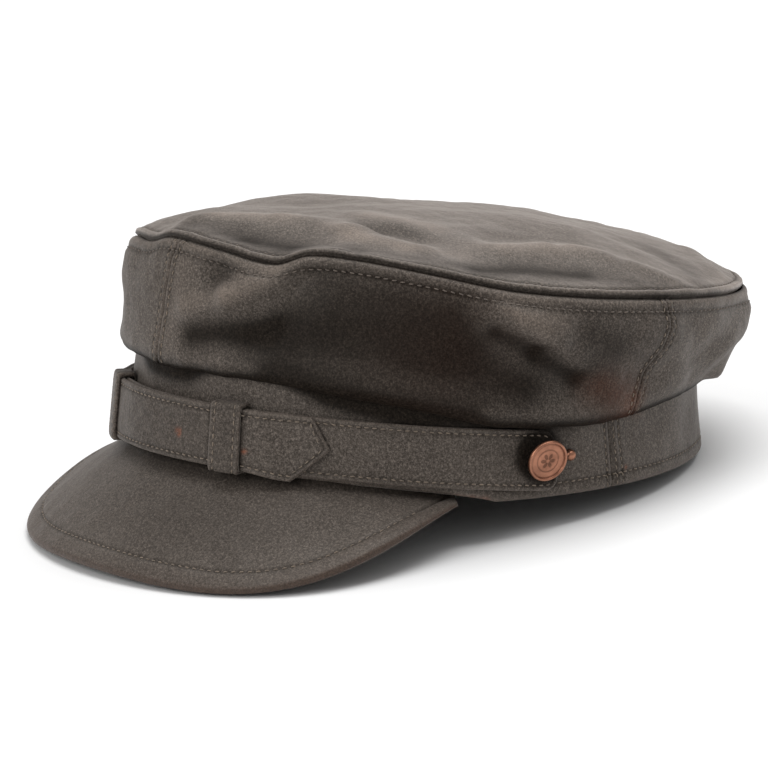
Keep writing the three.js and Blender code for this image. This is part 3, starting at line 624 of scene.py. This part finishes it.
def build_side(name, start, end):
    """One side panel, from seam to seam. The centre front seam leans as it rises."""
    turns = spread(start * CROWN_DEGREE, end * CROWN_DEGREE, 1.5, 0.45, 7) / CROWN_DEGREE
    shares = np.concatenate([np.linspace(0, 0.3, 8)[:-1], np.linspace(0.3, 0.86, 40)[:-1],
                             np.linspace(0.86, 1, 22)])
    wide = np.concatenate([[turns[0] - SEAM_LEAN - 1, turns[0] - SEAM_LEAN / 2], turns,
                           [turns[-1] + SEAM_LEAN / 2, turns[-1] + SEAM_LEAN + 1]])
    base = smooth_curve(side_knots(wide)[2], shares)
    lean = SEAM_LEAN * bell(near_turn(turns)[:, None], SEAM_LEAN_REACH) * ease((shares - 0.25) / 0.85)
    turn = turns[:, None] + lean
    base = np.stack([np.stack([np.interp(turn[:, j], wide, base[:, j, i]) for i in range(3)], -1)
                     for j in range(len(shares))], 1)
    fold_height, height, _ = side_knots(turn.ravel())
    fold_height, height = fold_height.reshape(turn.shape), height.reshape(turn.shape)
    normals = surface_normals(base, outward(turn, turn.shape))
    rise = (base[..., 2] - fold_height) / height
    below = run_length(base, 1)
    below = below[:, -1:] - below
    along = run_length(base, 0)
    left = along[-1:] - along
    big = side_lines(SIDE_DENTS, turn, rise, height) * ease(rise / 0.14) * ease((1 - rise) / 0.14)
    hung = ease((rise + 0.05) / 0.2)
    soft = 0.75 * ripple(base * (1, 1, 0.7), 30, 4) + 0.4 * ripple(base * (1, 1, 1.3), 12, 5)
    fine = 0.16 * ripple(base, 4.5, 6)
    push = big + soft * mix(0.4, 1, hung) + fine
    seam_pucker = ripple(base * (1, 1, 0.25), 5.5, 7)
    push = np.maximum(push, DEEPEST_LOW - DEEPER_HIGH * ease((rise - 0.5) / 0.25))
    push *= ease(below / 7)
    push += 0.22 * seam_pucker * bell(below - 5, 4)
    push -= groove(below - SIDE_STITCH_BELOW_SEAM, ROW_GROOVE)
    push += 0.35 * bell(below - 2.2, 1.5)
    push -= 0.35 * bell(below, 0.5)
    for distance in (along, left):
        push -= groove(distance - PANEL_STITCHES, SEAM_GROOVE) * hung
        push += 0.3 * bell(distance - 1.2, 1.2) * hung
        push -= 0.9 * bell(distance, 0.55)
        push += 0.2 * ripple(base * (0.2, 0.2, 1), 4.5, 8) * bell(distance - 3, 3.5) * hung
    outer = base + normals * push[..., None]
    facing = surface_normals(outer, outward(turn, turn.shape))
    inner = (outer - facing * CLOTH)[:, ::3]
    inner[:, -1] = outer[:, -1] - facing[:, -1] * 0.6 - (0, 0, 0.8)
    wear_and_painted_light = np.clip(0.16 * (big + soft), 0, 0.5) * 0.4 + 0.25 * bell(below - 1.6, 1.6)
    # Painted highlights and painted shade from the table, painted shadow under the fold's edge, and painted
    # shade along the stitch rows and in the seam at the top
    wear_and_painted_light += side_lines(SIDE_SHADES, turn, rise, height)
    wear_and_painted_light -= 1.5 * ease((0.12 - rise) / 0.14)
    wear_and_painted_light -= STITCH_SHADE * (bell(below - SIDE_STITCH_BELOW_SEAM, SHADE_WIDTH)
                            + bell(along - PANEL_STITCHES, SHADE_WIDTH)
                            + bell(left - PANEL_STITCHES, SHADE_WIDTH))
    wear_and_painted_light -= 0.9 * bell(below, 0.6)
    wear_and_painted_light += 0.15 * (bell(along - 1.2, 1.2) + bell(left - 1.2, 1.2))
    add_wall(name, outer, inner, crown_cloth, wear_and_painted_light, rust_marks(turn, rise * RISE_UNIT, CROWN_MARKS))
    path = trace(outer, facing, below, SIDE_STITCH_BELOW_SEAM, 1)
    sew(name + "_stitches", [path], dark_thread, pitch=CROWN_PITCH)
    shown = shares > 0.36
    paths = [trace(outer[:, shown], facing[:, shown], distance[:, shown], PANEL_STITCHES, 0)
             for distance in (along, left)]
    sew(name + "_seam_stitches", paths, brown_thread, pitch=CROWN_PITCH)


build_side("crown_side_left", 0.0, CROWN_SEAM_TURN)
build_side("crown_side_right", -CROWN_SEAM_TURN, 0.0)
build_side("crown_back", CROWN_SEAM_TURN, 360 - CROWN_SEAM_TURN)


# Top of the crown. One oval of oilcloth, sewn to the sides with its edge turned under. A row of
# stitches runs just inside the seam. It lies in a low dome, with folds across it.
TOP_RISE, DOME_POWER, EDGE_POWER = 15.2, 2.5, 6
TOP_STITCH = 3.0
TOP_LIP_DROP = 3.5

# x and y at one end and at the other in shares of the half width and half length, half width and
# lift in millimetres
TOP_FOLDS = (
    (-0.04, -0.9, 0.1, -0.78, 6.5, 2.4), (0.19, -0.71, 0.46, -0.57, 6.5, 2.6),
    (0.2, -0.88, 0.5, -0.72, 8, -1.4), (0.47, -0.5, 0.58, -0.42, 5, -1.8),
    (0.3, -0.48, 0.42, -0.42, 8, 1.6), (0.72, -0.22, 0.7, -0.03, 5.5, 2.4),
    (0.715, 0.07, 0.765, 0.15, 5.5, 2.3), (0.81, 0.24, 0.89, 0.36, 5, 2.0),
    (0.82, -0.3, 0.86, 0.0, 7, -1.2), (-0.38, -0.72, -0.04, -0.46, 13, -1.8),
    (0.36, 0.74, 0.7, 0.66, 5, 1.6), (0.25, -0.15, 0.45, 0.2, 22, 1.0),
    (-0.72, -0.5, -0.62, 0.0, 22, -4.8), (-0.52, 0.05, -0.25, 0.5, 24, -2.2),
    (0.55, -0.6, 0.68, -0.46, 4, 1.3), (0.6, -0.16, 0.62, 0.1, 8, -1.2),
    (0.36, -0.62, 0.46, -0.5, 4, -1.1), (0.1, -0.4, 0.3, -0.3, 9, 0.8), (0.5, 0.4, 0.62, 0.5, 7, -1.0),
)

# The same for painted light, above 0 a painted highlight and below 0 painted shade
TOP_SHADES = (
    (0.02, -0.93, 0.16, -0.89, 7, -0.5), (0.27, -0.86, 0.42, -0.8, 7, -0.95),
    (0.5, -0.76, 0.6, -0.7, 6, -0.4), (0.42, -0.52, 0.52, -0.42, 5, -0.4),
    (0.66, -0.66, 0.82, -0.44, 6, -0.35), (0.84, -0.36, 0.87, 0.02, 5, -0.9),
    (0.9, 0.1, 0.94, 0.25, 5, -0.4), (0.5, 0.5, 0.75, 0.5, 7, -0.35),
    (0.38, -0.62, 0.55, -0.61, 4, 0.5), (0.72, -0.21, 0.71, 0.1, 4, 0.5),
    (0.66, 0.72, 0.8, 0.6, 5, 0.5), (0.02, -0.84, 0.22, -0.68, 5, 0.8),
    (0.34, -0.46, 0.5, -0.32, 5, 0.6), (0.5, -0.64, 0.66, -0.52, 4, 0.5),
    (0.66, -0.52, 0.74, -0.36, 4, 0.4), (0.68, -0.3, 0.7, 0.1, 5, 0.3),
)


def top_lines(rows, x, y):
    """The sum of a table of soft lines over the top, x and y in millimetres from its middle."""
    total = np.zeros(x.shape)
    for x0, y0, x1, y1, width, amount in rows:
        ends = ((x0 * CROWN_WIDTH / 2, y0 * CROWN_LENGTH / 2), (x1 * CROWN_WIDTH / 2, y1 * CROWN_LENGTH / 2))
        total += line_push(x, y, ends, width, amount)
    return total


def ring_faces(rows, columns):
    """Faces of a grid whose rows close round an axis, capped at its first and last columns."""
    index = np.arange(rows * columns).reshape(rows, columns)
    after = np.roll(index, -1, axis=0)
    faces = np.stack([index[:, :-1], after[:, :-1], after[:, 1:], index[:, 1:]], -1).reshape(-1, 4)
    return faces.tolist() + [index[::-1, 0].tolist(), index[:, -1].tolist()]


def build_top():
    turns = np.linspace(0, 360, 361)[:-1]
    rings = np.concatenate([np.linspace(0.02, 0.9, 62)[:-1], np.linspace(0.9, 1, 24)])
    turn, ring = np.meshgrid(turns, rings, indexing="ij")
    x, y = seam_plan(turn)
    x, y = x * ring, mix(CROWN_SET_BACK, y, ring)
    tilt = SEAM_FALL / 2 * cos(turn) + SEAM_SADDLE * cos(2 * turn)
    edge = seam_height(turn) - SEAM_HEIGHT - tilt
    lift = top_lines(TOP_FOLDS, x, y - CROWN_SET_BACK) * ease((1 - ring) / 0.14)
    level = SEAM_HEIGHT + tilt * ring + edge * ring ** EDGE_POWER
    level = level + TOP_RISE * (1 - ring ** DOME_POWER) + GAP + CLOTH
    base = np.stack([x, y, level], -1)
    normals = surface_normals(base, np.array([0.0, 0.0, 1.0]))
    inward = run_length(base, 1)
    inward = inward[:, -1:] - inward
    soft = 0.8 * ripple(base, 34, 9) + 0.35 * ripple(base * (1, 0.7, 1), 13, 10)
    push = (lift + soft + 0.14 * ripple(base, 4.5, 11)) * ease(inward / 9)
    angular = np.stack([95 * sin(turn), 95 * cos(turn), np.zeros(turn.shape)], -1)
    push += 0.3 * ripple(angular, 6, 12) * bell(inward - 4.5, 4)
    push -= groove(inward - TOP_STITCH, ROW_GROOVE)
    push += 0.4 * bell(inward - 1.3, 1.1)
    push -= 0.75 * bell(inward, 0.5)
    outer = base + normals * push[..., None]
    facing = surface_normals(outer, np.array([0.0, 0.0, 1.0]))
    inner = (outer - facing * CLOTH)[:, ::4]
    inner[:, -1] = mix(inner[:, -1], inner[:, -3], 0.5) - (0, 0, TOP_LIP_DROP)
    wear_and_painted_light = np.clip(0.14 * (lift + soft), 0, 0.5) * 0.4 + 0.25 * bell(inward - 1.3, 1.4)
    # Painted highlights and painted shade from the table, and painted shade along the stitch row and in the
    # seam at the edge
    wear_and_painted_light += top_lines(TOP_SHADES, x, y - CROWN_SET_BACK)
    wear_and_painted_light -= STITCH_SHADE * bell(inward - TOP_STITCH, SHADE_WIDTH) + 0.9 * bell(inward, 0.5)
    sections = np.concatenate([outer, inner[:, ::-1]], axis=1)
    wear_and_painted_light = np.concatenate([wear_and_painted_light, np.zeros(inner.shape[:2])], axis=1)
    add_piece("crown_top", sections.reshape(-1, 3), ring_faces(*sections.shape[:2]), crown_top_cloth,
              "oilcloth", ["crown_top"], wear_and_painted_light)
    path = trace(outer, facing, inward, TOP_STITCH, 1)
    path = tuple(np.concatenate([part, part[:1]]) for part in path)
    sew("crown_top_stitches", [path], dark_thread, pitch=CROWN_PITCH)


crown_top_cloth = oilcloth("crown_top_oilcloth", DARK, PALE, BLOOM, RUBBED_AND_HIGHLIGHT, sheen=0.52)
build_top()


# Peak. A stiff board covered in oilcloth on both faces, sloping down from under the band's front rim,
# with a turned edge that is rubbed brown and one row of stitches a little way in from it.
PEAK_REACH, PEAK_FLARE, PEAK_FLARE_RIGHT = 32.8, 23.4, 13.5
PEAK_DROP, PEAK_CORNER_DIP, PEAK_THICK, PEAK_ARCH = 23.6, 6.3, 3.4, 0.8
PEAK_END, PEAK_THINS, PEAK_CORNER_THIN = 88.0, 24.0, 0.4
DROP_ROUNDING, FRONT_POWER_RIGHT = 0.44, 0.9
PEAK_STITCH, PEAK_PITCH = 8.0, 2.9
PEAK_ROOT_RISE = 1.3
PEAK_EDGE_ROUND = 1.7


def peak_edge(sweep):
    """The peak's outer edge, swept from its right corner at -90 to its left at 90."""
    corner = band_point(PEAK_TURN, 0.0)
    reach = BAND_LENGTH / 2 + corner[1] + PEAK_REACH - PEAK_THICK / 4
    right = sweep < 0
    flare = np.where(right, PEAK_FLARE_RIGHT, PEAK_FLARE) - PEAK_THICK / 5
    drop = PEAK_DROP * mix(cos(sweep), cos(sweep) ** 2, DROP_ROUNDING)
    dip = PEAK_CORNER_DIP * sin(2 * sweep) ** 2
    return np.stack([
        corner[0] * sin(sweep) + flare * sin(2 * sweep),
        corner[1] - reach * np.abs(cos(sweep)) ** np.where(right, FRONT_POWER_RIGHT, 1),
        PEAK_THICK / 4 - drop - dip,
    ], -1)


def build_peak():
    sweeps = np.linspace(-PEAK_END, PEAK_END, 221)
    shares = np.concatenate([np.linspace(0, 0.6, 22)[:-1], np.linspace(0.6, 1, 40)])
    sweep, share = np.meshgrid(sweeps, shares, indexing="ij")
    turn = PEAK_TURN * sweep / 90
    root = band_point(turn, rim_height(turn) - GAP - PEAK_THICK / 2, -(BAND_WALL + PEAK_THICK) / 2)
    middle = mix(root, peak_edge(sweep), share[..., None])
    middle[..., 2] += 4 * share * (1 - share) * PEAK_ARCH * cos(sweep)
    normals = surface_normals(middle, np.array([0.0, 0.0, 1.0]))
    inward = run_length(middle, 1)
    inward = inward[:, -1:] - inward
    full = mix(PEAK_CORNER_THIN, 1, ease((PEAK_END - np.abs(sweep)) / PEAK_THINS))
    round_edge = np.sqrt(np.clip(1 - (1 - np.clip(inward / PEAK_EDGE_ROUND, 0, 1)) ** 2, 0, 1))
    half = PEAK_THICK / 2 * full * np.maximum(round_edge, 0.05)
    push = 0.4 * ripple(middle, 30, 13) + 0.14 * ripple(middle, 10, 14)
    push *= ease(inward / 5)
    channel = -0.32 * bell(inward - PEAK_STITCH, 0.7) + 0.14 * bell(inward - PEAK_STITCH / 2, 2.5)
    pucker = 0.16 * ripple(middle, 4, 15) * bell(inward - PEAK_STITCH, 3)
    outer = middle + normals * (half + push + channel + pucker)[..., None]
    outer[:, :2, 2] += PEAK_ROOT_RISE
    under = middle + normals * (push - half - channel)[..., None]
    wear_and_painted_light = 0.8 * bell(inward, 1.5) + 0.12 * bell(inward - 4, 3) + 0.1 * np.clip(push, 0, 1)
    # Painted shade along the stitch row, painted shadow along the root under the band and straps, and darker
    # a little left of the middle
    wear_and_painted_light -= STITCH_SHADE * bell(inward - PEAK_STITCH, SHADE_WIDTH)
    wear_and_painted_light -= 0.9 * bell(inward[:, :1] - inward, 4.5)
    wear_and_painted_light -= 0.32 * bell(sweep - 22, 24) * bell(share - 0.5, 0.3)
    add_wall("peak", outer, under[:, ::3], peak_cloth, wear_and_painted_light, inner_wear_and_painted_light=wear_and_painted_light[:, ::3])
    facing = surface_normals(outer, np.array([0.0, 0.0, 1.0]))
    inner_line = trace(outer, facing, inward, PEAK_STITCH, 1)
    keep = slice(14, -14)
    sew("peak_stitches", [(inner_line[0][keep], inner_line[1][keep])], brown_thread, pitch=PEAK_PITCH)


PEAK_BLOOM, PEAK_RUBBED = tuple(0.88 * v for v in BLOOM), (0.045, 0.026, 0.018)
peak_cloth = oilcloth("peak_oilcloth", DARK, PALE, PEAK_BLOOM, PEAK_RUBBED)
build_peak()


# Straps. Two strips of oilcloth with their edges turned in and stitched. Each is held by the button
# on its side and tapers to a point. The one from the right lies over the other.
STRAP_WALL = 1.6
STRAP_TIP_TURN, STRAP_POINT_HIGH, STRAP_POINT_LOW = 43.5, 6.0, 13.0
STRAP_PAST_BUTTON, STRAP_CORNER, STRAP_STEP = 5.5, 5.0, 14.0
KEEPER_TURN, KEEPER_WIDTH, KEEPER_WALL = 22.0, 11.5, 1.0
STRAP_END = BUTTON_TURN + STRAP_PAST_BUTTON / BAND_DEGREE
STRAP_STITCH = 1.9
TIP_CANT = 1.7

# turn, height, radius and strength of each red-brown mark on the upper strap
STRAP_MARKS = ((9.2, 21.0, 0.9, 0.9), (9.6, 19.6, 0.7, 0.5), (26.6, 17.2, 0.7, 0.9))


def under_out(turn):
    """How far the under strap's back stands off the band."""
    start = KEEPER_TURN + KEEPER_WIDTH / BAND_DEGREE
    settle = STRAP_STEP / BAND_DEGREE
    return GAP + (KEEPER_WALL + GAP) * ease((start + settle - np.abs(turn)) / settle)


def over_out(turn):
    """The same for the over strap, which climbs onto the other."""
    settle = STRAP_STEP / BAND_DEGREE
    return under_out(turn) + (STRAP_WALL + GAP) * ease((STRAP_TIP_TURN + 1 + settle + turn) / settle)


def build_strap(name, tip, end, out_at, cant):
    hand = np.sign(end - tip)
    length = abs(end - tip) * BAND_DEGREE
    distances = np.concatenate([np.linspace(0.15, STRAP_POINT_LOW, 26)[:-1],
                                np.linspace(STRAP_POINT_LOW, length - STRAP_CORNER, 130)[:-1],
                                length - STRAP_CORNER * (1 - np.sin(np.linspace(0, math.pi / 2, 12)))])
    across = np.concatenate([[0, 0.01, 0.03], np.linspace(0.06, 0.94, 26), [0.97, 0.99, 1]])
    distance, share = np.meshgrid(distances, across, indexing="ij")
    turn = tip + hand * distance / BAND_DEGREE
    corner = np.clip(STRAP_CORNER - (length - distance), 0, STRAP_CORNER)
    trim = STRAP_CORNER - np.sqrt(STRAP_CORNER ** 2 - corner ** 2)
    middle = strap_low(turn) + STRAP_WIDTH / 2
    low = middle - STRAP_WIDTH / 2 * np.clip(distance / STRAP_POINT_LOW, 0, 1) + trim
    low = low - cant * bell(distance - STRAP_POINT_LOW, 11)
    high = middle + STRAP_WIDTH / 2 * np.clip(distance / STRAP_POINT_HIGH, 0, 1) - trim
    height = mix(low, high, share)
    slack = 0.35 * ripple(band_point(turn, height), 22, 16) * ease(distance / 20)
    half = STRAP_WALL / 2
    edge = np.minimum(np.minimum(height - low, high - height), distance + 0.2)
    edge = np.minimum(edge, length - distance + 0.2)
    bulge = half * np.sqrt(np.clip(1 - (1 - np.clip(edge / 1.0, 0, 1)) ** 2, 0.02, 1))
    channel = -0.3 * bell(edge - STRAP_STITCH, 0.6) + 0.12 * bell(edge - 0.9, 0.7)
    fine = 0.1 * ripple(band_point(turn, height), 3.4, 17)
    centre = out_at(turn) + half + slack
    outer = band_point(turn, height, centre + bulge + channel + fine)
    inner = band_point(turn, height, centre - bulge)[:, ::3]
    # Paler at the edges, painted shade along the stitch rows and beside each keeper, painted shadow round the
    # button, and darker towards the front
    wear_and_painted_light = 0.3 * bell(edge, 0.7) + 0.1 * bell(edge - 1, 1) - STITCH_SHADE * bell(edge - STRAP_STITCH, 0.7)
    from_keeper = np.abs(np.abs(turn) - KEEPER_TURN) * BAND_DEGREE - KEEPER_WIDTH / 2
    wear_and_painted_light -= 0.8 * bell(from_keeper, 1.2) + 0.24 * ease((32 - np.abs(turn)) / 25)
    wear_and_painted_light -= button_shade(turn, height)
    marks = STRAP_MARKS if name == "strap_over" else ()
    add_wall(name, outer, inner, band_cloth, wear_and_painted_light, rust_marks(turn, height, marks))
    facing = surface_normals(outer, outward(turn, turn.shape))

    rows = []
    for sign in (1, -1):
        line, normal = [], []
        for j, run in enumerate(distances):
            if run < 0.5 or run > length - STRAP_STITCH:
                continue
            h = height[j]
            limit = (high[j, 0] - STRAP_STITCH) if sign > 0 else (low[j, 0] + STRAP_STITCH)
            slope = STRAP_WIDTH / 2 / (STRAP_POINT_HIGH if sign > 0 else STRAP_POINT_LOW)
            if run < (STRAP_POINT_HIGH if sign > 0 else STRAP_POINT_LOW):
                limit -= sign * STRAP_STITCH * (math.hypot(1, slope) - 1)
            mid = (high[j, 0] + low[j, 0]) / 2
            if (limit - mid) * sign < 0:
                continue
            line.append([np.interp(limit, h, outer[j, :, i]) for i in range(3)])
            normal.append([np.interp(limit, h, facing[j, :, i]) for i in range(3)])
        rows.append((np.array(line), np.array(normal)))
    sew(name + "_stitches", rows, brown_thread, pitch=2.7)


build_strap("strap_under", -STRAP_TIP_TURN, STRAP_END, under_out, 0.0)
build_strap("strap_over", STRAP_TIP_TURN, -STRAP_END, over_out, TIP_CANT)


# Keepers. Two loops of oilcloth that hold the straps together, stitched along both edges.
KEEPER_STITCH = 1.9
KEEPER_SQUARENESS = 0.22


def build_keeper(name, centre):
    half = KEEPER_WIDTH / 2 / BAND_DEGREE
    turns = np.linspace(centre - half, centre + half, 25)
    near = under_out(centre) - GAP - KEEPER_WALL
    far = under_out(centre) + 2 * STRAP_WALL + 2 * GAP + KEEPER_WALL
    angles = np.linspace(0, 2 * math.pi, 97)[:-1]
    c, s = np.cos(angles), np.sin(angles)
    u = np.sign(c) * np.abs(c) ** KEEPER_SQUARENESS
    v = np.sign(s) * np.abs(s) ** KEEPER_SQUARENESS
    turn = np.tile(turns, (len(u), 1))
    edge = np.minimum(turn - turns[0], turns[-1] - turn) * BAND_DEGREE
    bulge = np.sqrt(np.clip(1 - (1 - np.clip(edge / 0.8, 0, 1)) ** 2, 0.03, 1))
    swell = 0.4 * bulge - 0.25 * bell(edge - KEEPER_STITCH, 0.6)

    def loop(grow):
        low = strap_low(turn) - GAP - KEEPER_WALL * 0.5 - grow
        high = strap_low(turn) + STRAP_WIDTH + GAP + KEEPER_WALL + grow
        out = mix(near, far + grow, (u[:, None] + 1) / 2)
        return band_point(turn, mix(low, high, (v[:, None] + 1) / 2), out)

    skin = loop(swell)
    inside = loop(-KEEPER_WALL)[:, ::4]
    add_wall(name, skin, inside, band_cloth, 0.45 * bell(edge, 0.8) - 0.2, ring=True)
    shown = u > 0.2
    order = np.argsort(v[shown])
    front = skin[shown][order]
    paths = []
    facing = np.broadcast_to(outward(centre, (len(front),)), front[:, 0].shape)
    for place in (KEEPER_STITCH, KEEPER_WIDTH - KEEPER_STITCH):
        k = np.interp(place, (turns - turns[0]) * BAND_DEGREE, np.arange(len(turns)))
        a, b = int(k), min(int(k) + 1, len(turns) - 1)
        paths.append((mix(front[:, a], front[:, b], k - a), facing))
    sew(name + "_stitches", paths, brown_thread, pitch=2.6)


build_keeper("keeper_left", KEEPER_TURN)
build_keeper("keeper_right", -KEEPER_TURN)


# Buttons and studs. Discs of copper with a raised rim and a plain rosette pressed into the face,
# aged to a satin brown. Each nods down from its shank. A small domed stud sits behind each one.
BUTTON_RADIUS, BUTTON_THICK, BUTTON_RIM, BUTTON_NOD = 7.2, 2.2, 1.1, 14.0
SHANK_RADIUS, STUD_RADIUS, STUD_BEHIND, STUD_BELOW = 1.8, 1.9, 11.0, 0.5
STUD_FOOT = 0.4
BUTTON_BACK_RADII = (5.8, 6.8)
BUTTON_FACE_RADIUS, BUTTON_FACE_DOME, FACE_STEPS = 5.95, 0.12, 44
PETALS, PETAL_LENGTH, PRESSED_RING, PRESSED_DEPTH = 6, 2.9, 3.9, 0.22
COPPER_BRIGHT, COPPER_DARK, TARNISH = (0.385, 0.18, 0.115), (0.19, 0.09, 0.06), (0.055, 0.030, 0.022)


def copper_material(name, tone, dark):
    material, tree, shader = node_tree(name)
    patch = ramp_node(tree, noise_node(tree, 3.5, 4, 0.65), 0, 1, 0.35, 0.68)
    wear_and_painted_light = tree.nodes.new("ShaderNodeAttribute")
    wear_and_painted_light.attribute_name = "wear_and_painted_light"
    colour = mix_node(tree, ramp_node(tree, patch, 0, 0.55, 0, 1), tone, dark)
    colour = mix_node(tree, wear_and_painted_light.outputs["Fac"], colour, TARNISH)
    tree.links.new(colour, shader.inputs["Base Color"])
    tree.links.new(ramp_node(tree, patch, 0.32, 0.5, 0, 1), shader.inputs["Roughness"])
    shader.inputs["Metallic"].default_value = 1.0
    normal = bump_node(tree, noise_node(tree, 0.5, 2), 0.02)
    tree.links.new(normal, shader.inputs["Normal"])
    return material


button_copper = copper_material("button_copper", COPPER_BRIGHT, COPPER_DARK)


def turned(name, radii, alongs, turn, height, out, nod, relief=None, wear_and_painted_light=None):
    """A turned shape set on the band, facing out at a turn and nodding down."""
    angles = np.linspace(0, 360, 121)[:-1]
    radius = np.broadcast_to(radii, (len(angles), len(radii)))
    along = np.broadcast_to(alongs, radius.shape).copy()
    angle = np.broadcast_to(angles[:, None], radius.shape)
    marks = np.zeros(radius.shape)
    if relief is not None:
        marks = relief(radius, angle) * (np.arange(len(radii)) > len(radii) // 3)
        along = along - PRESSED_DEPTH * marks
    facing = np.array([sin(turn) * cos(nod), -cos(turn) * cos(nod), -sin(nod)])
    side = np.cross(facing, [0, 0, 1])
    side /= np.linalg.norm(side)
    above = np.cross(side, facing)
    centre = band_point(turn, height, out)
    points = (centre + radius[..., None] * (cos(angle)[..., None] * side + sin(angle)[..., None] * above)
              + along[..., None] * facing)
    shade = marks * 0.6 + (0 if wear_and_painted_light is None else wear_and_painted_light(radius, along))
    add_piece(name, points.reshape(-1, 3), ring_faces(*radius.shape), button_copper, "copper",
              [name], shade)


def rosette(radius, angle):
    """A plain pressed flower in a ring, from 0 to 1."""
    petal = PETAL_LENGTH * np.abs(cos(PETALS / 2 * angle)) ** 0.6
    ring = bell(radius - PRESSED_RING, 0.22)
    return np.clip(ease((petal - radius) / 0.5) * ease((radius - 0.5) / 0.3) + 0.8 * ring, 0, 1)


for side_name, hand in (("left", 1), ("right", -1)):
    turn = hand * BUTTON_TURN
    height = strap_low(turn) + STRAP_WIDTH / 2 + 1
    lean = abs(band_point(turn, height - BUTTON_RADIUS)[0] - band_point(turn, height)[0])
    stand = GAP + lean + BUTTON_RADIUS * sin(BUTTON_NOD)
    shank = (stand - GAP) / cos(BUTTON_NOD) - SHANK_RADIUS * math.tan(math.radians(BUTTON_NOD))
    rim = np.linspace(0, math.pi, 9)
    face = BUTTON_THICK * 0.72
    inwards = np.linspace(BUTTON_FACE_RADIUS, 0.02, FACE_STEPS)
    rim_middle = BUTTON_RADIUS - BUTTON_RIM / 2
    radii = np.concatenate([[0.01, SHANK_RADIUS, SHANK_RADIUS, *BUTTON_BACK_RADII, BUTTON_RADIUS],
                            rim_middle + BUTTON_RIM / 2 * np.cos(rim), inwards])
    alongs = np.concatenate([[-shank, -shank, 0, 0, BUTTON_THICK * 0.2, BUTTON_THICK * 0.45],
                             BUTTON_THICK * 0.62 + BUTTON_THICK * 0.38 * np.sin(rim),
                             face + BUTTON_FACE_DOME * (1 - (inwards / 6) ** 2)])
    turned(f"button_{side_name}", radii, alongs, turn, height, under_out(turn) + STRAP_WALL + stand,
           BUTTON_NOD, rosette, lambda radius, along: 0.35 * bell(radius - 5.9, 0.3))
    behind = turn + hand * STUD_BEHIND / BAND_DEGREE
    lift = np.linspace(0, 89, 12)
    foot = STUD_RADIUS * STUD_FOOT
    turned(f"stud_{side_name}", np.concatenate([[0.01, STUD_RADIUS], STUD_RADIUS * cos(lift)]),
           np.concatenate([[0, 0], foot + STUD_RADIUS * sin(lift)]), behind, height - STUD_BELOW, GAP, 0)


# Floor, light and camera. The cap stands on a pale sweep of paper under a wide soft light from above
# and a little in front, and the camera looks from the side of the peak with a long lens.
CAMERA_TURN, CAMERA_LIFT = 56.0, 11.42
CAMERA_DISTANCE, CAMERA_LENS = 1915.5, 261.6
AIM_RIGHT, AIM_UP = -10.78, 22.75
FLOOR_REACH, PAPER = 6, (0.82, 0.82, 0.82, 1.0)
SKY_STRENGTH = 0.5

floor_material, _, floor_shader = node_tree("pale_paper")
floor_shader.inputs["Base Color"].default_value = PAPER
floor_shader.inputs["Roughness"].default_value = 0.9
floor_shader.inputs["Specular IOR Level"].default_value = 0.1
floor_mesh = bpy.data.meshes.new("floor")
corners = ((-1, -1), (1, -1), (1, 1), (-1, 1))
floor_mesh.from_pydata([(FLOOR_REACH * x, FLOOR_REACH * y, 0) for x, y in corners], [], [(0, 1, 2, 3)])
floor_mesh.materials.append(floor_material)
floor = bpy.data.objects.new("floor", floor_mesh)
bpy.context.scene.collection.objects.link(floor)

back = np.array([sin(CAMERA_TURN) * cos(CAMERA_LIFT), -cos(CAMERA_TURN) * cos(CAMERA_LIFT), sin(CAMERA_LIFT)])
right = np.array([cos(CAMERA_TURN), sin(CAMERA_TURN), 0])
above = np.cross(back, right)
eye = to_row(back * CAMERA_DISTANCE)
target = to_row(right * AIM_RIGHT + above * AIM_UP)
view_back = (eye - target) / np.linalg.norm(eye - target)
view_right = np.cross(above @ CAP_AXES, view_back)
view_right /= np.linalg.norm(view_right)
view_up = np.cross(view_back, view_right)
camera_data = bpy.data.cameras.new("camera")
camera_data.lens, camera_data.sensor_width = CAMERA_LENS, 36.0
camera_data.clip_end = 50.0
camera = bpy.data.objects.new("camera", camera_data)
rotation = Matrix((view_right, view_up, view_back)).transposed().to_4x4()
camera.matrix_world = Matrix.Translation(Vector(eye)) @ rotation
bpy.context.scene.collection.objects.link(camera)
bpy.context.scene.camera = camera


def add_light(name, place, size, watts, target=(0, 0, 0.05)):
    data = bpy.data.lights.new(name, "AREA")
    data.shape, data.size, data.energy = "SQUARE", size, watts
    light = bpy.data.objects.new(name, data)
    direction = Vector(place) - Vector(target)
    light.location = place
    light.rotation_euler = direction.to_track_quat("Z", "Y").to_euler()
    bpy.context.scene.collection.objects.link(light)


# Place and size in metres, +X towards the wearer's left and -Y towards the peak, and power in watts
add_light("overhead", (0.0, 0.6, 2.4), 2.2, 62)
add_light("front", (0.2, -2.4, 1.5), 1.2, 24)
world = bpy.data.worlds.new("studio")
world.use_nodes = True
world.node_tree.nodes["Background"].inputs["Color"].default_value = (1.0, 1.0, 1.0, 1.0)
world.node_tree.nodes["Background"].inputs["Strength"].default_value = SKY_STRENGTH
bpy.context.scene.world = world
bpy.context.scene.view_settings.view_transform = "Standard"
